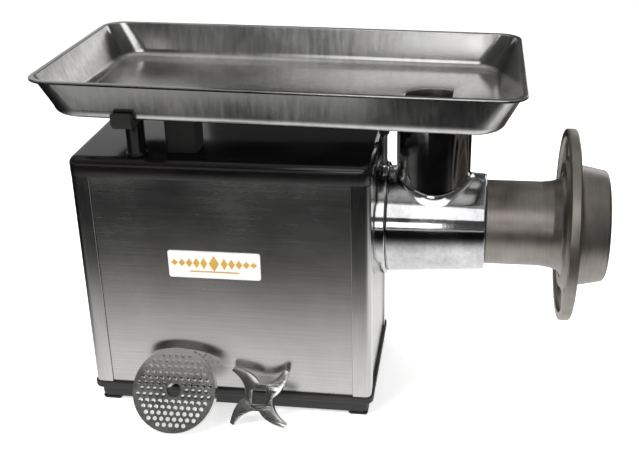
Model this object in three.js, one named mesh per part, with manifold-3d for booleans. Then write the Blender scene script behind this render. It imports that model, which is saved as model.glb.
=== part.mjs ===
// Electric meat grinder, bench model for 100 mm cutting plates.
//
// Lengths are in millimetres and +Z is up. The pieces are laid out in the housing's own frame:
// X runs along the housing from its closed end to the grinding head, Y runs from the front panel to
// the rear, and Z starts at the surface that the feet stand on. The whole group is then moved so that
// its origin is the middle of the object's bounding box, at the bottom.

import * as THREE from "three";
import { mergeVertices } from "three/addons/utils/BufferGeometryUtils.js";
import Module from "manifold-3d";

const wasm = await Module();
wasm.setup();

// ---------------------------------------------------------------- driving dimensions

const GAP = 0.3;
const SMALL_ROUND = 12;
const ROUND = 20;
const BIG_ROUND = 36;

// Housing
const HOUSING = { length: 340, depth: 194, post: 22, postRound: 9 };
const PANEL = { thickness: 1.5, inset: 2, bottom: 28, top: 298 };
const BASE = { underside: 4, step: 18, top: 28, plinthInset: 4, lipOut: 2, wallInset: 10, floor: 8 };
const CAP = { overhang: 1, top: 321, edge: 9, wall: 6, roof: 4, round: 11 };
const FOOT = { size: 24, inset: 4.5, round: 3 };
const PANEL_BOTTOM = PANEL.bottom + GAP;
const PANEL_HEIGHT = PANEL.top - PANEL.bottom - 2 * GAP;
const PANEL_SPAN_X = HOUSING.length - 2 * HOUSING.post - 2 * GAP;
const PANEL_SPAN_Y = HOUSING.depth - 2 * HOUSING.post - 2 * GAP;

// Shaft lines, all along X and in the housing's middle plane
const MIDDLE_Y = HOUSING.depth / 2;
const HEAD_Z = 220;
const GEAR_ROOM = 0.4;
const FAST_STAGE = { module: 2, pinionTeeth: 14, wheelTeeth: 42, start: 250, width: 14 };
const SLOW_STAGE = { module: 2.5, pinionTeeth: 14, wheelTeeth: 36, start: 270, width: 20 };
const stageCentres = (stage) => (stage.module * (stage.pinionTeeth + stage.wheelTeeth)) / 2;
const IDLER_Z = HEAD_Z - stageCentres(SLOW_STAGE);
const MOTOR_Z = IDLER_Z - stageCentres(FAST_STAGE);

// Motor
const MOTOR = { start: 74, end: 221, outer: 68, inner: 64, shieldWidth: 14, shaft: 10, bearing: 20 };
const STATOR = { start: 95, end: 200, inner: 36 };
const FAN = { start: 42, width: 14, outer: 52, hub: 18, blades: 7, bladeThickness: 3 };

// Gearbox
const CASE = { start: 246, end: 330, wall: 6, endWall: 12, halfDepth: 72, bottom: 50, top: 293 };
const COVER = { thickness: 6, boss: 34, bossWidth: 14 };
const OUTPUT = { shaft: 15, rearBearing: 28, frontBearing: 38, socket: 24, socketEnd: 345, square: 22 };
const IDLER_SHAFT = 9;

// Head: neck collar, casting, cutter barrel, worm, knife, plate and ring nut
const NECK = { start: 330 + GAP, end: 352, outer: 67, bore: 50 };
const LOCK = { x: 345.8, stem: 4.2, boss: 5.9, bossTop: 292, knob: 13, knobBottom: 325, knobTop: 349 };
const CASTING = { spigotStart: 338, wallEnd: 364, end: 465, rearOuter: 63, frontOuter: 56, bore: 44 };
const THROAT = { x: 403, outer: 42.4, bore: 37.8, top: 366.5 };
const BARREL = { tailStart: 450, start: 465, bellStart: 553, end: 577, outer: 49, flare: 54, bell: 60 };
const BARREL_BORE = { worm: 42.5, plate: 50.4, plateSeat: 556 };
const BUSH = { outer: 24, inner: 17.3 };
const WORM = { core: 16, flight: 41, pitch: 48, start: 366, end: 552, journal: 17, square: 21.4, tail: 327 };
const STUD = { square: 15.4, knifeEnd: 567, pin: 8, pinEnd: 582 };
const KNIFE = { start: 557, width: 10, tip: 46, hub: 16, square: 16, arms: 4 };
const PLATE = { start: 567.4, width: 11.6, radius: 50, bore: 8.5 };
const RING = { back: 552, rimWidth: 12, outer: 111, web: 5, dish: 4, nose: 70, mouthEnd: 601, noseEnd: 64 };
const RING_WINDOWS = { count: 6, inner: 78, outer: 98, halfAngle: 20 };
const THREAD_BORE = BARREL.bell + 0.4;

// Feed tray
const TRAY = { centreX: 238, underside: 368.5, height: 43, sheet: 1.5, pitch: THREE.MathUtils.degToRad(1.15) };
const TRAY_LEVELS = [
  { rise: 0, halfLength: 230, halfDepth: 119, round: 28 },
  { rise: 3, halfLength: 238, halfDepth: 126, round: 33 },
  { rise: 11, halfLength: 243.5, halfDepth: 130, round: 34 },
  { rise: TRAY.height, halfLength: 257, halfDepth: 134.2, round: 23 },
];
const LIP = { halfLength: 261.3, halfDepth: 138.5, drop: 3, round: 26 };
const SPIGOT = { outer: 36.6, inner: 35.2, depth: 25 };

// Tray support on the cap
const SUPPORT_POST = { x: 77, y: 16, radius: 10.5 };
const HOOK = { start: 71, width: 22, arm: 6.5, rise: 11 };
const REST = { x: 107, y: 24, length: 36, depth: 36, round: 5 };

// Controls and cable inlet on the closed end
const SWITCH = { y: MIDDLE_Y, z: 200, width: 60, height: 90, thickness: 3.2, round: 8 };
const BUTTON = { head: 11, stem: 8, front: -8, shoulder: -1.6, tip: 9, rise: 18 };
const GLAND = { y: 150, z: 62, bore: 4.5, thread: 8, nut: 12, dome: 10 };
const VENT = { count: 6, halfLength: 34, halfHeight: 2.2, pitch: 12, x: 118, z: 70 };
const LABEL = { x: 106, z: 177, length: 108, height: 34, thickness: 0.8, round: 3 };

// Spare cutting plate and spare knife, leaning on the front panel
const SPARE_PLATE = { x: 111, lean: THREE.MathUtils.degToRad(37) };
const SPARE_KNIFE = { x: 210, lean: THREE.MathUtils.degToRad(30), halfHeight: 35.7 };

// Middle of the bounding box: tray's left lip to ring nut's mouth, spare plate's foot to tray's rear lip
const LEAN_SIN = Math.sin(SPARE_PLATE.lean);
const LEAN_COS = Math.cos(SPARE_PLATE.lean);
const SPARE_PLATE_Y = PANEL.inset - GAP - (PLATE.width / 2) * LEAN_COS - PLATE.radius * LEAN_SIN;
const FRONT_EXTENT = SPARE_PLATE_Y - (PLATE.width / 2) * LEAN_COS - PLATE.radius * LEAN_SIN;
const TRAY_REACH = THROAT.x - TRAY.centreX + LIP.halfLength;
const LIP_BOTTOM = TRAY.height - LIP.drop;
const TRAY_LEFT = THROAT.x - TRAY_REACH * Math.cos(TRAY.pitch) + LIP_BOTTOM * Math.sin(TRAY.pitch);
const CENTRE_X = (TRAY_LEFT + RING.mouthEnd) / 2;
const CENTRE_Y = (FRONT_EXTENT + MIDDLE_Y + LIP.halfDepth) / 2;

// ---------------------------------------------------------------- materials

const finish = (color, roughness, metalness) =>
  new THREE.MeshStandardMaterial({ color, roughness, metalness });

const polishedSteel = () => finish(0xc9c9c7, 0.22, 1);
const brushedSteel = () => finish(0xb9b7b3, 0.34, 1);
const machinedSteel = () => finish(0xa09e9a, 0.4, 1);
const castAluminium = () => finish(0xc4c5c6, 0.26, 1);
const greyCasting = () => finish(0x6f6a64, 0.5, 1);
const glossBlack = () => finish(0x0c0b0b, 0.14, 0);
const mattBlack = () => finish(0x161617, 0.6, 0);
const rubber = () => finish(0x101010, 0.85, 0);
const motorPaint = () => finish(0x3c4a56, 0.55, 0.2);
const bronze = () => finish(0xa97b3c, 0.4, 1);

// ---------------------------------------------------------------- solids and booleans

// A closed geometry as a manifold-3d solid, turned to face outwards.
function solid(geometry) {
  const bare = (geometry.index ? geometry.toNonIndexed() : geometry).clone();
  bare.deleteAttribute("normal");
  bare.deleteAttribute("uv");
  const merged = mergeVertices(bare, 1e-4);
  const corners = merged.index.array;
  const kept = [];
  for (let i = 0; i < corners.length; i += 3) {
    const [a, b, c] = [corners[i], corners[i + 1], corners[i + 2]];
    if (a !== b && b !== c && c !== a) kept.push(a, b, c);
  }
  const make = (triangles) =>
    new wasm.Manifold(
      new wasm.Mesh({
        numProp: 3,
        vertProperties: merged.attributes.position.array,
        triVerts: new Uint32Array(triangles),
      }),
    );
  const made = make(kept);
  return made.volume() > 0 ? made : make(kept.reverse());
}

function geometryOf(manifold) {
  const mesh = manifold.getMesh();
  const geometry = new THREE.BufferGeometry();
  geometry.setAttribute("position", new THREE.BufferAttribute(mesh.vertProperties, 3));
  geometry.setIndex(new THREE.BufferAttribute(mesh.triVerts, 1));
  const faceted = geometry.toNonIndexed();
  faceted.computeVertexNormals();
  return faceted;
}

const join = (...shapes) => geometryOf(shapes.map(solid).reduce((a, b) => a.add(b)));
const cut = (shape, ...tools) => geometryOf(tools.map(solid).reduce((a, b) => a.subtract(b), solid(shape)));

// ---------------------------------------------------------------- shape helpers

const TO_YZ = new THREE.Matrix4().makeBasis(
  new THREE.Vector3(0, 1, 0),
  new THREE.Vector3(0, 0, 1),
  new THREE.Vector3(1, 0, 0),
);
const TO_XZ = new THREE.Matrix4().makeBasis(
  new THREE.Vector3(1, 0, 0),
  new THREE.Vector3(0, 0, 1),
  new THREE.Vector3(0, -1, 0),
);

const extrude = (shape, depth, options = {}) =>
  new THREE.ExtrudeGeometry(shape, { depth, bevelEnabled: false, curveSegments: 5, ...options });

// A shape drawn in Y and Z, from x = start to x = end.
const alongX = (shape, start, end, options) =>
  extrude(shape, end - start, options).applyMatrix4(TO_YZ).translate(start, 0, 0);

// A shape drawn in X and Z, with its rear face at y = rear.
const alongY = (shape, rear, thickness, options) =>
  extrude(shape, thickness, options).applyMatrix4(TO_XZ).translate(0, rear, 0);

const alongZ = (shape, bottom, top, options) =>
  extrude(shape, top - bottom, options).translate(0, 0, bottom);

const profile = (points) => points.map(([radius, place]) => new THREE.Vector2(radius, place));
const lathe = (points, segments) => new THREE.LatheGeometry(profile(points), segments);
const latheX = (points, y, z, segments = ROUND) =>
  lathe(points, segments).rotateZ(-Math.PI / 2).translate(0, y, z);
const latheZ = (points, x, y, segments = ROUND) =>
  lathe(points, segments).rotateX(Math.PI / 2).translate(x, y, 0);

const rodPoints = (radius, start, end) => [[0, start], [radius, start], [radius, end], [0, end]];
const ringPoints = (inner, outer, start, end) => [
  [inner, start],
  [outer, start],
  [outer, end],
  [inner, end],
  [inner, start],
];
const rodX = (radius, start, end, z, segments) => latheX(rodPoints(radius, start, end), MIDDLE_Y, z, segments);
const ringX = (inner, outer, start, end, z, segments) =>
  latheX(ringPoints(inner, outer, start, end), MIDDLE_Y, z, segments);

function roundedRectangle(left, bottom, right, top, radius) {
  const shape = new THREE.Shape();
  shape.moveTo(left + radius, bottom);
  shape.lineTo(right - radius, bottom);
  shape.absarc(right - radius, bottom + radius, radius, -Math.PI / 2, 0);
  shape.lineTo(right, top - radius);
  shape.absarc(right - radius, top - radius, radius, 0, Math.PI / 2);
  shape.lineTo(left + radius, top);
  shape.absarc(left + radius, top - radius, radius, Math.PI / 2, Math.PI);
  shape.lineTo(left, bottom + radius);
  shape.absarc(left + radius, bottom + radius, radius, Math.PI, Math.PI * 1.5);
  return shape;
}

function rectangle(left, bottom, right, top) {
  return new THREE.Shape(
    [[left, bottom], [right, bottom], [right, top], [left, top]].map(([u, v]) => new THREE.Vector2(u, v)),
  );
}

function circleHole(u, v, radius, points = ROUND) {
  const ring = Array.from({ length: points }, (_, i) => (i / points) * 2 * Math.PI);
  return new THREE.Path(
    ring.map((angle) => new THREE.Vector2(u + radius * Math.cos(angle), v + radius * Math.sin(angle))),
  );
}

const disc = (u, v, radius, points) => new THREE.Shape(circleHole(u, v, radius, points).getPoints());
const square = (u, v, side) => rectangle(u - side / 2, v - side / 2, u + side / 2, v + side / 2);
const withHoles = (shape, ...holes) => {
  shape.holes.push(...holes);
  return shape;
};

// A rounded rectangle about the origin, swept up through levels that each state their own half sizes
// and corner radius. It starts as a unit outline whose corners then move out to each level's place.
function loft(levels, curveSegments = 4) {
  const outline = roundedRectangle(-2, -2, 2, 2, 1);
  const steps = levels.length - 1;
  const geometry = extrude(outline, steps, { steps, curveSegments });
  const place = geometry.getAttribute("position");
  const moved = (value, half, round) => Math.sign(value) * (half - round + (Math.abs(value) - 1) * round);
  for (let i = 0; i < place.count; i++) {
    const { rise, halfLength, halfDepth, round } = levels[Math.round(place.getZ(i))];
    place.setXYZ(
      i,
      moved(place.getX(i), halfLength, round),
      moved(place.getY(i), halfDepth, round),
      rise,
    );
  }
  return geometry;
}

// ---------------------------------------------------------------- the group

const grinder = new THREE.Group();
grinder.name = "meat_grinder";
const layout = new THREE.Group();
layout.position.set(-CENTRE_X, -CENTRE_Y, 0);
grinder.add(layout);

function add(name, geometry, material, parent = layout) {
  const mesh = new THREE.Mesh(geometry, material);
  mesh.name = name;
  parent.add(mesh);
  return mesh;
}

// ---------------------------------------------------------------- housing

const HALF = { length: HOUSING.length / 2, depth: HOUSING.depth / 2 };
const insetLevel = (rise, inset, round) => ({
  rise,
  halfLength: HALF.length - inset,
  halfDepth: HALF.depth - inset,
  round,
});
const housingLoft = (levels) => loft(levels).translate(HALF.length, HALF.depth, 0);

function addBase() {
  const outer = housingLoft([
    insetLevel(BASE.underside, BASE.plinthInset + 1, 5),
    insetLevel(BASE.step, BASE.plinthInset, 6),
    insetLevel(BASE.step + 2.5, -BASE.lipOut, 10),
    insetLevel(BASE.top, -BASE.lipOut, 10),
  ]);
  const room = housingLoft([
    insetLevel(BASE.floor, BASE.wallInset, 4),
    insetLevel(BASE.top + 1, BASE.wallInset, 4),
  ]);
  add("base_tray", cut(outer, room), mattBlack());

  const low = FOOT.inset;
  const corners = {
    front_left: [low, low],
    front_right: [HOUSING.length - low - FOOT.size, low],
    rear_left: [low, HOUSING.depth - low - FOOT.size],
    rear_right: [HOUSING.length - low - FOOT.size, HOUSING.depth - low - FOOT.size],
  };
  for (const [corner, [x, y]] of Object.entries(corners)) {
    const outline = roundedRectangle(x, y, x + FOOT.size, y + FOOT.size, FOOT.round);
    add(`foot_${corner}`, alongZ(outline, 0, BASE.underside - GAP, { curveSegments: 2 }), rubber());
  }
}

// A square post whose outer corner is rounded. East and north say which way that corner points.
function postOutline(east, north) {
  const size = HOUSING.post;
  const x = east ? HOUSING.length : 0;
  const y = north ? HOUSING.depth : 0;
  const inX = east ? -1 : 1;
  const inY = north ? -1 : 1;
  const round = HOUSING.postRound;
  const shape = new THREE.Shape();
  shape.moveTo(x + inX * size, y);
  shape.lineTo(x + inX * size, y + inY * size);
  shape.lineTo(x, y + inY * size);
  shape.lineTo(x, y + inY * round);
  shape.quadraticCurveTo(x + inX * round * 0.12, y + inY * round * 0.12, x + inX * round, y);
  return shape;
}

function addPosts() {
  const corners = { front_left: [0, 0], front_right: [1, 0], rear_left: [0, 1], rear_right: [1, 1] };
  for (const [corner, [east, north]] of Object.entries(corners)) {
    const geometry = alongZ(postOutline(east, north), PANEL_BOTTOM, PANEL_BOTTOM + PANEL_HEIGHT);
    add(`corner_post_${corner}`, geometryOf(solid(geometry)), brushedSteel());
  }
}

function addPanels() {
  const low = HOUSING.post + GAP;
  const top = PANEL_BOTTOM + PANEL_HEIGHT;
  const wide = () => rectangle(low, PANEL_BOTTOM, low + PANEL_SPAN_X, top);
  const narrow = () => rectangle(low, PANEL_BOTTOM, low + PANEL_SPAN_Y, top);
  const rearFace = HOUSING.depth - PANEL.inset;
  const rightFace = HOUSING.length - PANEL.inset;

  add("front_panel", alongY(wide(), PANEL.inset + PANEL.thickness, PANEL.thickness), brushedSteel());

  const vents = Array.from({ length: VENT.count }, (_, i) => {
    const z = VENT.z + i * VENT.pitch;
    const slot = rectangle(VENT.x - VENT.halfLength, z - VENT.halfHeight, VENT.x + VENT.halfLength, z + VENT.halfHeight);
    return new THREE.Path(slot.getPoints());
  });
  add("rear_panel", alongY(withHoles(wide(), ...vents), rearFace, PANEL.thickness), brushedSteel());

  const leftHoles = [
    circleHole(SWITCH.y, SWITCH.z - BUTTON.rise, BUTTON.stem + 0.5, SMALL_ROUND),
    circleHole(SWITCH.y, SWITCH.z + BUTTON.rise, BUTTON.stem + 0.5, SMALL_ROUND),
    circleHole(GLAND.y, GLAND.z, GLAND.thread + GAP, SMALL_ROUND),
  ];
  const left = alongX(withHoles(narrow(), ...leftHoles), PANEL.inset, PANEL.inset + PANEL.thickness);
  add("left_panel", left, brushedSteel());

  const neckHole = circleHole(MIDDLE_Y, HEAD_Z, NECK.outer + 0.7, BIG_ROUND);
  const right = alongX(withHoles(narrow(), neckHole), rightFace - PANEL.thickness, rightFace);
  add("right_panel", right, brushedSteel());

  const label = roundedRectangle(LABEL.x, LABEL.z, LABEL.x + LABEL.length, LABEL.z + LABEL.height, LABEL.round);
  add("label_plate", alongY(label, PANEL.inset - GAP, LABEL.thickness), finish(0xf3f1ea, 0.4, 0));
}

function addCap() {
  const under = PANEL.top;
  const { overhang, top, edge, wall, roof, round } = CAP;
  const outer = housingLoft([
    insetLevel(under, -overhang, round),
    insetLevel(top - edge, -overhang, round),
    insetLevel(top - edge * 0.3, edge * 0.3 - overhang, round),
    insetLevel(top, edge - overhang, round * 0.6),
  ]);
  const inside = wall + edge - overhang;
  const room = housingLoft([insetLevel(under - 1, inside, 3), insetLevel(top - roof, inside, 3)]);
  add("top_cap", cut(outer, room), glossBlack());
}

// ---------------------------------------------------------------- motor

function addMotor() {
  const { start, end, outer, inner, shieldWidth, shaft, bearing } = MOTOR;
  const tail = start - shieldWidth;
  const nose = end + shieldWidth;
  add("motor_case", ringX(inner, outer, start + GAP, end - GAP, MOTOR_Z), motorPaint());
  add("motor_stator", ringX(STATOR.inner, inner - GAP, STATOR.start, STATOR.end, MOTOR_Z), machinedSteel());
  add("motor_end_shield_fan", ringX(bearing, outer, tail, start, MOTOR_Z), motorPaint());
  add("motor_end_shield_drive", ringX(bearing, outer, end, nose, MOTOR_Z), motorPaint());

  const race = [shaft + GAP, bearing - GAP];
  add("motor_bearing_fan", ringX(...race, tail + 2, start - 2, MOTOR_Z), machinedSteel());
  add("motor_bearing_drive", ringX(...race, end + 2, nose - 2, MOTOR_Z), machinedSteel());

  const shaftEnd = FAST_STAGE.start + FAST_STAGE.width;
  add("motor_shaft", rodX(shaft, FAN.start - 2, shaftEnd, MOTOR_Z, SMALL_ROUND), machinedSteel());
  add("rotor_core", ringX(shaft + GAP, STATOR.inner - 0.6, STATOR.start, STATOR.end, MOTOR_Z), machinedSteel());
  add("cooling_fan", fanGeometry(), mattBlack());
  add("motor_cradle", cradleGeometry(), mattBlack());
}

// A hub with straight radial blades, all in one solid.
function fanGeometry() {
  const hub = ringX(MOTOR.shaft + GAP, FAN.hub, FAN.start, FAN.start + FAN.width, 0, SMALL_ROUND);
  const reach = FAN.outer - FAN.hub + 2;
  const blades = Array.from({ length: FAN.blades }, (_, i) =>
    new THREE.BoxGeometry(FAN.width - 2, FAN.bladeThickness, reach)
      .translate(FAN.start + FAN.width / 2, 0, FAN.hub - 2 + reach / 2)
      .rotateX((i / FAN.blades) * 2 * Math.PI)
      .translate(0, MIDDLE_Y, 0),
  );
  return join(hub, ...blades).translate(0, 0, MOTOR_Z);
}

// A block on the base's floor, hollowed on top to the motor's round.
function cradleGeometry() {
  const block = rectangle(MIDDLE_Y - 45, BASE.floor + GAP, MIDDLE_Y + 45, MOTOR_Z - 48);
  const body = alongX(block, STATOR.start, STATOR.end);
  return cut(body, rodX(MOTOR.outer + GAP, STATOR.start - 5, STATOR.end + 5, MOTOR_Z));
}

// ---------------------------------------------------------------- gearbox

const involute = (angle) => Math.tan(angle) - angle;
const PRESSURE_ANGLE = THREE.MathUtils.degToRad(20);
const BACKLASH = 0.12;

// Half of a tooth's angle at a radius, from the involute through the pitch circle.
function toothHalfAngle(teeth, module, radius) {
  const pitchRadius = (module * teeth) / 2;
  const baseRadius = pitchRadius * Math.cos(PRESSURE_ANGLE);
  const pressureThere = Math.acos(Math.min(1, baseRadius / radius));
  const atPitch = Math.PI / (2 * teeth) - BACKLASH / pitchRadius;
  return atPitch + involute(PRESSURE_ANGLE) - involute(pressureThere);
}

// A spur gear's outline in Y and Z, with one tooth centred on the phase angle.
function gearShape(teeth, module, z, phase) {
  const pitchRadius = (module * teeth) / 2;
  const tip = pitchRadius + module * 0.95;
  const root = pitchRadius - module * 1.25;
  const tipHalf = toothHalfAngle(teeth, module, tip);
  const rootHalf = toothHalfAngle(teeth, module, root);
  const points = [];
  for (let i = 0; i < teeth; i++) {
    const centre = phase + (i / teeth) * 2 * Math.PI;
    const corners = [[root, -rootHalf], [tip, -tipHalf], [tip, tipHalf], [root, rootHalf]];
    for (const [radius, offset] of corners) {
      const angle = centre + offset;
      points.push(new THREE.Vector2(MIDDLE_Y + radius * Math.cos(angle), z + radius * Math.sin(angle)));
    }
  }
  return new THREE.Shape(points);
}

function gear(teeth, stage, z, phase, bore) {
  const shape = gearShape(teeth, stage.module, z, phase);
  const hole = circleHole(MIDDLE_Y, z, bore + GAP);
  return alongX(withHoles(shape, hole), stage.start, stage.start + stage.width);
}

// Pinions point a tooth up at the wheel above them, and each wheel points a tooth gap down.
const tooth = (teeth) => (2 * Math.PI) / teeth;
const UP = Math.PI / 2;
const DOWN = -Math.PI / 2;

function addGears() {
  const fast = FAST_STAGE;
  const slow = SLOW_STAGE;
  add("motor_pinion", gear(fast.pinionTeeth, fast, MOTOR_Z, UP, MOTOR.shaft), machinedSteel());
  const idlerPhase = DOWN + tooth(fast.wheelTeeth) / 2;
  add("idler_gear", gear(fast.wheelTeeth, fast, IDLER_Z, idlerPhase, IDLER_SHAFT), machinedSteel());
  add("idler_pinion", gear(slow.pinionTeeth, slow, IDLER_Z, UP, IDLER_SHAFT), machinedSteel());
  const outputPhase = DOWN + tooth(slow.wheelTeeth) / 2;
  add("output_gear", gear(slow.wheelTeeth, slow, HEAD_Z, outputPhase, OUTPUT.shaft), machinedSteel());

  const coverFace = CASE.start - COVER.thickness;
  const idlerEnds = [coverFace + 1, CASE.end - 1];
  add("idler_shaft", rodX(IDLER_SHAFT, ...idlerEnds, IDLER_Z, SMALL_ROUND), machinedSteel());
  const bearingStart = coverFace - COVER.bossWidth + 1.5;
  const shaftEnd = CASE.end - CASE.endWall - 6;
  const shaft = rodX(OUTPUT.shaft, bearingStart, shaftEnd, HEAD_Z);
  const socket = rodX(OUTPUT.socket, shaftEnd, OUTPUT.socketEnd, HEAD_Z);
  const drive = square(MIDDLE_Y, HEAD_Z, OUTPUT.square);
  const squareHole = alongX(drive, WORM.tail - 2, OUTPUT.socketEnd + 1);
  add("output_shaft", cut(join(shaft, socket), squareHole), machinedSteel());

  const rearRace = [OUTPUT.shaft + GAP, OUTPUT.rearBearing - GAP, bearingStart, coverFace - GAP];
  add("output_bearing_rear", ringX(...rearRace, HEAD_Z), machinedSteel());
  const frontRace = [OUTPUT.socket + GAP, OUTPUT.frontBearing - GAP];
  const wallFaces = [CASE.end - CASE.endWall + 0.5, CASE.end - 0.5];
  add("output_bearing_front", ringX(...frontRace, ...wallFaces, HEAD_Z), machinedSteel());
  add("oil_seal", ringX(OUTPUT.socket + GAP, NECK.bore - GAP, NECK.start + 0.5, 336, HEAD_Z), rubber());
}

function addGearbox() {
  const { start, end, wall, endWall, halfDepth, bottom, top } = CASE;
  const low = MIDDLE_Y - halfDepth;
  const high = MIDDLE_Y + halfDepth;
  const outer = alongX(rectangle(low, bottom, high, top), start + GAP, end);
  const room = alongX(rectangle(low + wall, bottom + wall, high - wall, top - wall), start - 1, end - endWall);
  const bearingBore = rodX(OUTPUT.frontBearing, end - endWall - 1, end + 1, HEAD_Z);
  const idlerBore = rodX(IDLER_SHAFT + GEAR_ROOM, end - endWall - 1, end + 1, IDLER_Z, SMALL_ROUND);
  add("gearbox_case", cut(outer, room, bearingBore, idlerBore), motorPaint());

  const coverFace = start - COVER.thickness;
  const plate = alongX(
    withHoles(
      rectangle(low, bottom, high, top),
      circleHole(MIDDLE_Y, HEAD_Z, OUTPUT.shaft + GEAR_ROOM),
      circleHole(MIDDLE_Y, IDLER_Z, IDLER_SHAFT + GEAR_ROOM),
      circleHole(MIDDLE_Y, MOTOR_Z, MOTOR.shaft + 4),
    ),
    coverFace,
    start,
  );
  const boss = ringX(OUTPUT.rearBearing, COVER.boss, coverFace - COVER.bossWidth, coverFace + 1, HEAD_Z);
  add("gearbox_cover", join(plate, boss), motorPaint());

  const mount = rectangle(MIDDLE_Y - 40, BASE.floor + GAP, MIDDLE_Y + 40, bottom - GAP);
  add("gearbox_mount", alongX(mount, start + 16, end - 12), mattBlack());
}

// ---------------------------------------------------------------- head

function addNeck() {
  const ring = ringX(NECK.bore, NECK.outer, NECK.start, NECK.end, HEAD_Z, BIG_ROUND);
  const bossBottom = HEAD_Z + NECK.outer - 4;
  const boss = latheZ(
    [[0, bossBottom], [LOCK.boss, bossBottom], [LOCK.boss, LOCK.bossTop - 3], [5.6, LOCK.bossTop], [0, LOCK.bossTop]],
    LOCK.x,
    MIDDLE_Y,
    SMALL_ROUND,
  );
  const hole = latheZ(rodPoints(LOCK.stem + GAP, HEAD_Z + 40, LOCK.bossTop + 1), LOCK.x, MIDDLE_Y, SMALL_ROUND);
  add("neck_collar", cut(join(ring, boss), hole), castAluminium());

  const stemBottom = HEAD_Z + NECK.bore + GAP;
  const stem = latheZ(rodPoints(LOCK.stem, stemBottom, LOCK.knobBottom + 12), LOCK.x, MIDDLE_Y, SMALL_ROUND);
  add("lock_screw", stem, polishedSteel());
  add("lock_knob", knobGeometry(), mattBlack());
}

// A lobed hand knob with a blind hole for the screw's end.
function knobGeometry() {
  const lobes = 5;
  const points = Array.from({ length: lobes * 8 }, (_, i) => {
    const angle = (i / (lobes * 8)) * 2 * Math.PI;
    const radius = LOCK.knob - 1.4 + 1.4 * Math.cos(lobes * angle);
    return new THREE.Vector2(LOCK.x + radius * Math.cos(angle), MIDDLE_Y + radius * Math.sin(angle));
  });
  const body = alongZ(new THREE.Shape(points), LOCK.knobBottom, LOCK.knobTop);
  const hole = rodPoints(LOCK.stem + GAP, LOCK.knobBottom - 1, LOCK.knobBottom + 12 + GAP);
  return cut(body, latheZ(hole, LOCK.x, MIDDLE_Y, SMALL_ROUND));
}

function addCasting() {
  const shoulder = NECK.end + GAP;
  const body = latheX(
    [
      [0, CASTING.spigotStart],
      [NECK.bore - GAP, CASTING.spigotStart],
      [NECK.bore - GAP, shoulder],
      [CASTING.rearOuter, shoulder],
      [CASTING.frontOuter, CASTING.end],
      [0, CASTING.end],
    ],
    MIDDLE_Y,
    HEAD_Z,
    BIG_ROUND,
  );
  const throat = latheZ(rodPoints(THROAT.outer, HEAD_Z, THROAT.top), THROAT.x, MIDDLE_Y, 40);
  const spigotRoom = rodX(OUTPUT.socket + 6, CASTING.spigotStart - 1, shoulder - 1, HEAD_Z);
  const bushBore = rodX(BUSH.outer + GAP, shoulder - 2, CASTING.wallEnd + 1, HEAD_Z);
  const mainBore = rodX(CASTING.bore, CASTING.wallEnd, CASTING.end + 1, HEAD_Z, BIG_ROUND);
  const frontBore = rodX(BARREL_BORE.worm + 4.8, BARREL.tailStart, CASTING.end + 1, HEAD_Z, BIG_ROUND);
  const feedBore = latheZ(rodPoints(THROAT.bore, HEAD_Z, THROAT.top + 1), THROAT.x, MIDDLE_Y, 40);
  const geometry = cut(join(body, throat), spigotRoom, bushBore, mainBore, frontBore, feedBore);
  add("head_casting", geometry, castAluminium());
  add("worm_bush", ringX(BUSH.inner, BUSH.outer, shoulder - 1, CASTING.wallEnd, HEAD_Z), bronze());
}

function addCutterBarrel() {
  const { tailStart, start, bellStart, end, outer, flare, bell } = BARREL;
  const shoulder = start + GAP;
  const geometry = latheX(
    [
      [BARREL_BORE.worm, tailStart + GAP],
      [BARREL_BORE.worm + 4.5, tailStart + GAP],
      [BARREL_BORE.worm + 4.5, shoulder],
      [outer, shoulder],
      [outer, bellStart - 25],
      [outer + 1.6, bellStart - 13],
      [flare, bellStart - 3],
      [bell, bellStart],
      [bell, end],
      [BARREL_BORE.plate, end],
      [BARREL_BORE.plate, BARREL_BORE.plateSeat],
      [BARREL_BORE.worm, BARREL_BORE.plateSeat],
      [BARREL_BORE.worm, tailStart + GAP],
    ],
    MIDDLE_Y,
    HEAD_Z,
    BIG_ROUND,
  );
  add("cutter_barrel", geometry, greyCasting());
}

// The worm's flight: a core with one lobe, swept along the axis and twisted once per pitch.
function flightGeometry() {
  const halfLobe = 0.36;
  const lobePoints = [[WORM.flight, -halfLobe * 0.55], [WORM.flight, 0], [WORM.flight, halfLobe * 0.55]];
  const corePoints = Array.from({ length: 9 }, (_, i) => {
    const share = i / 8;
    return [WORM.core, halfLobe + share * 2 * (Math.PI - halfLobe)];
  });
  const points = [...lobePoints, ...corePoints].map(
    ([radius, angle]) => new THREE.Vector2(radius * Math.cos(angle), radius * Math.sin(angle)),
  );
  const length = WORM.end - WORM.start;
  const steps = Math.round((length / WORM.pitch) * 12);
  const geometry = extrude(new THREE.Shape(points), length, { steps });
  const place = geometry.getAttribute("position");
  const corner = new THREE.Vector2();
  for (let i = 0; i < place.count; i++) {
    corner.set(place.getX(i), place.getY(i));
    corner.rotateAround(new THREE.Vector2(), (place.getZ(i) / WORM.pitch) * 2 * Math.PI);
    place.setXY(i, corner.x, corner.y);
  }
  return geometry.applyMatrix4(TO_YZ).translate(WORM.start, MIDDLE_Y, HEAD_Z);
}

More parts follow.
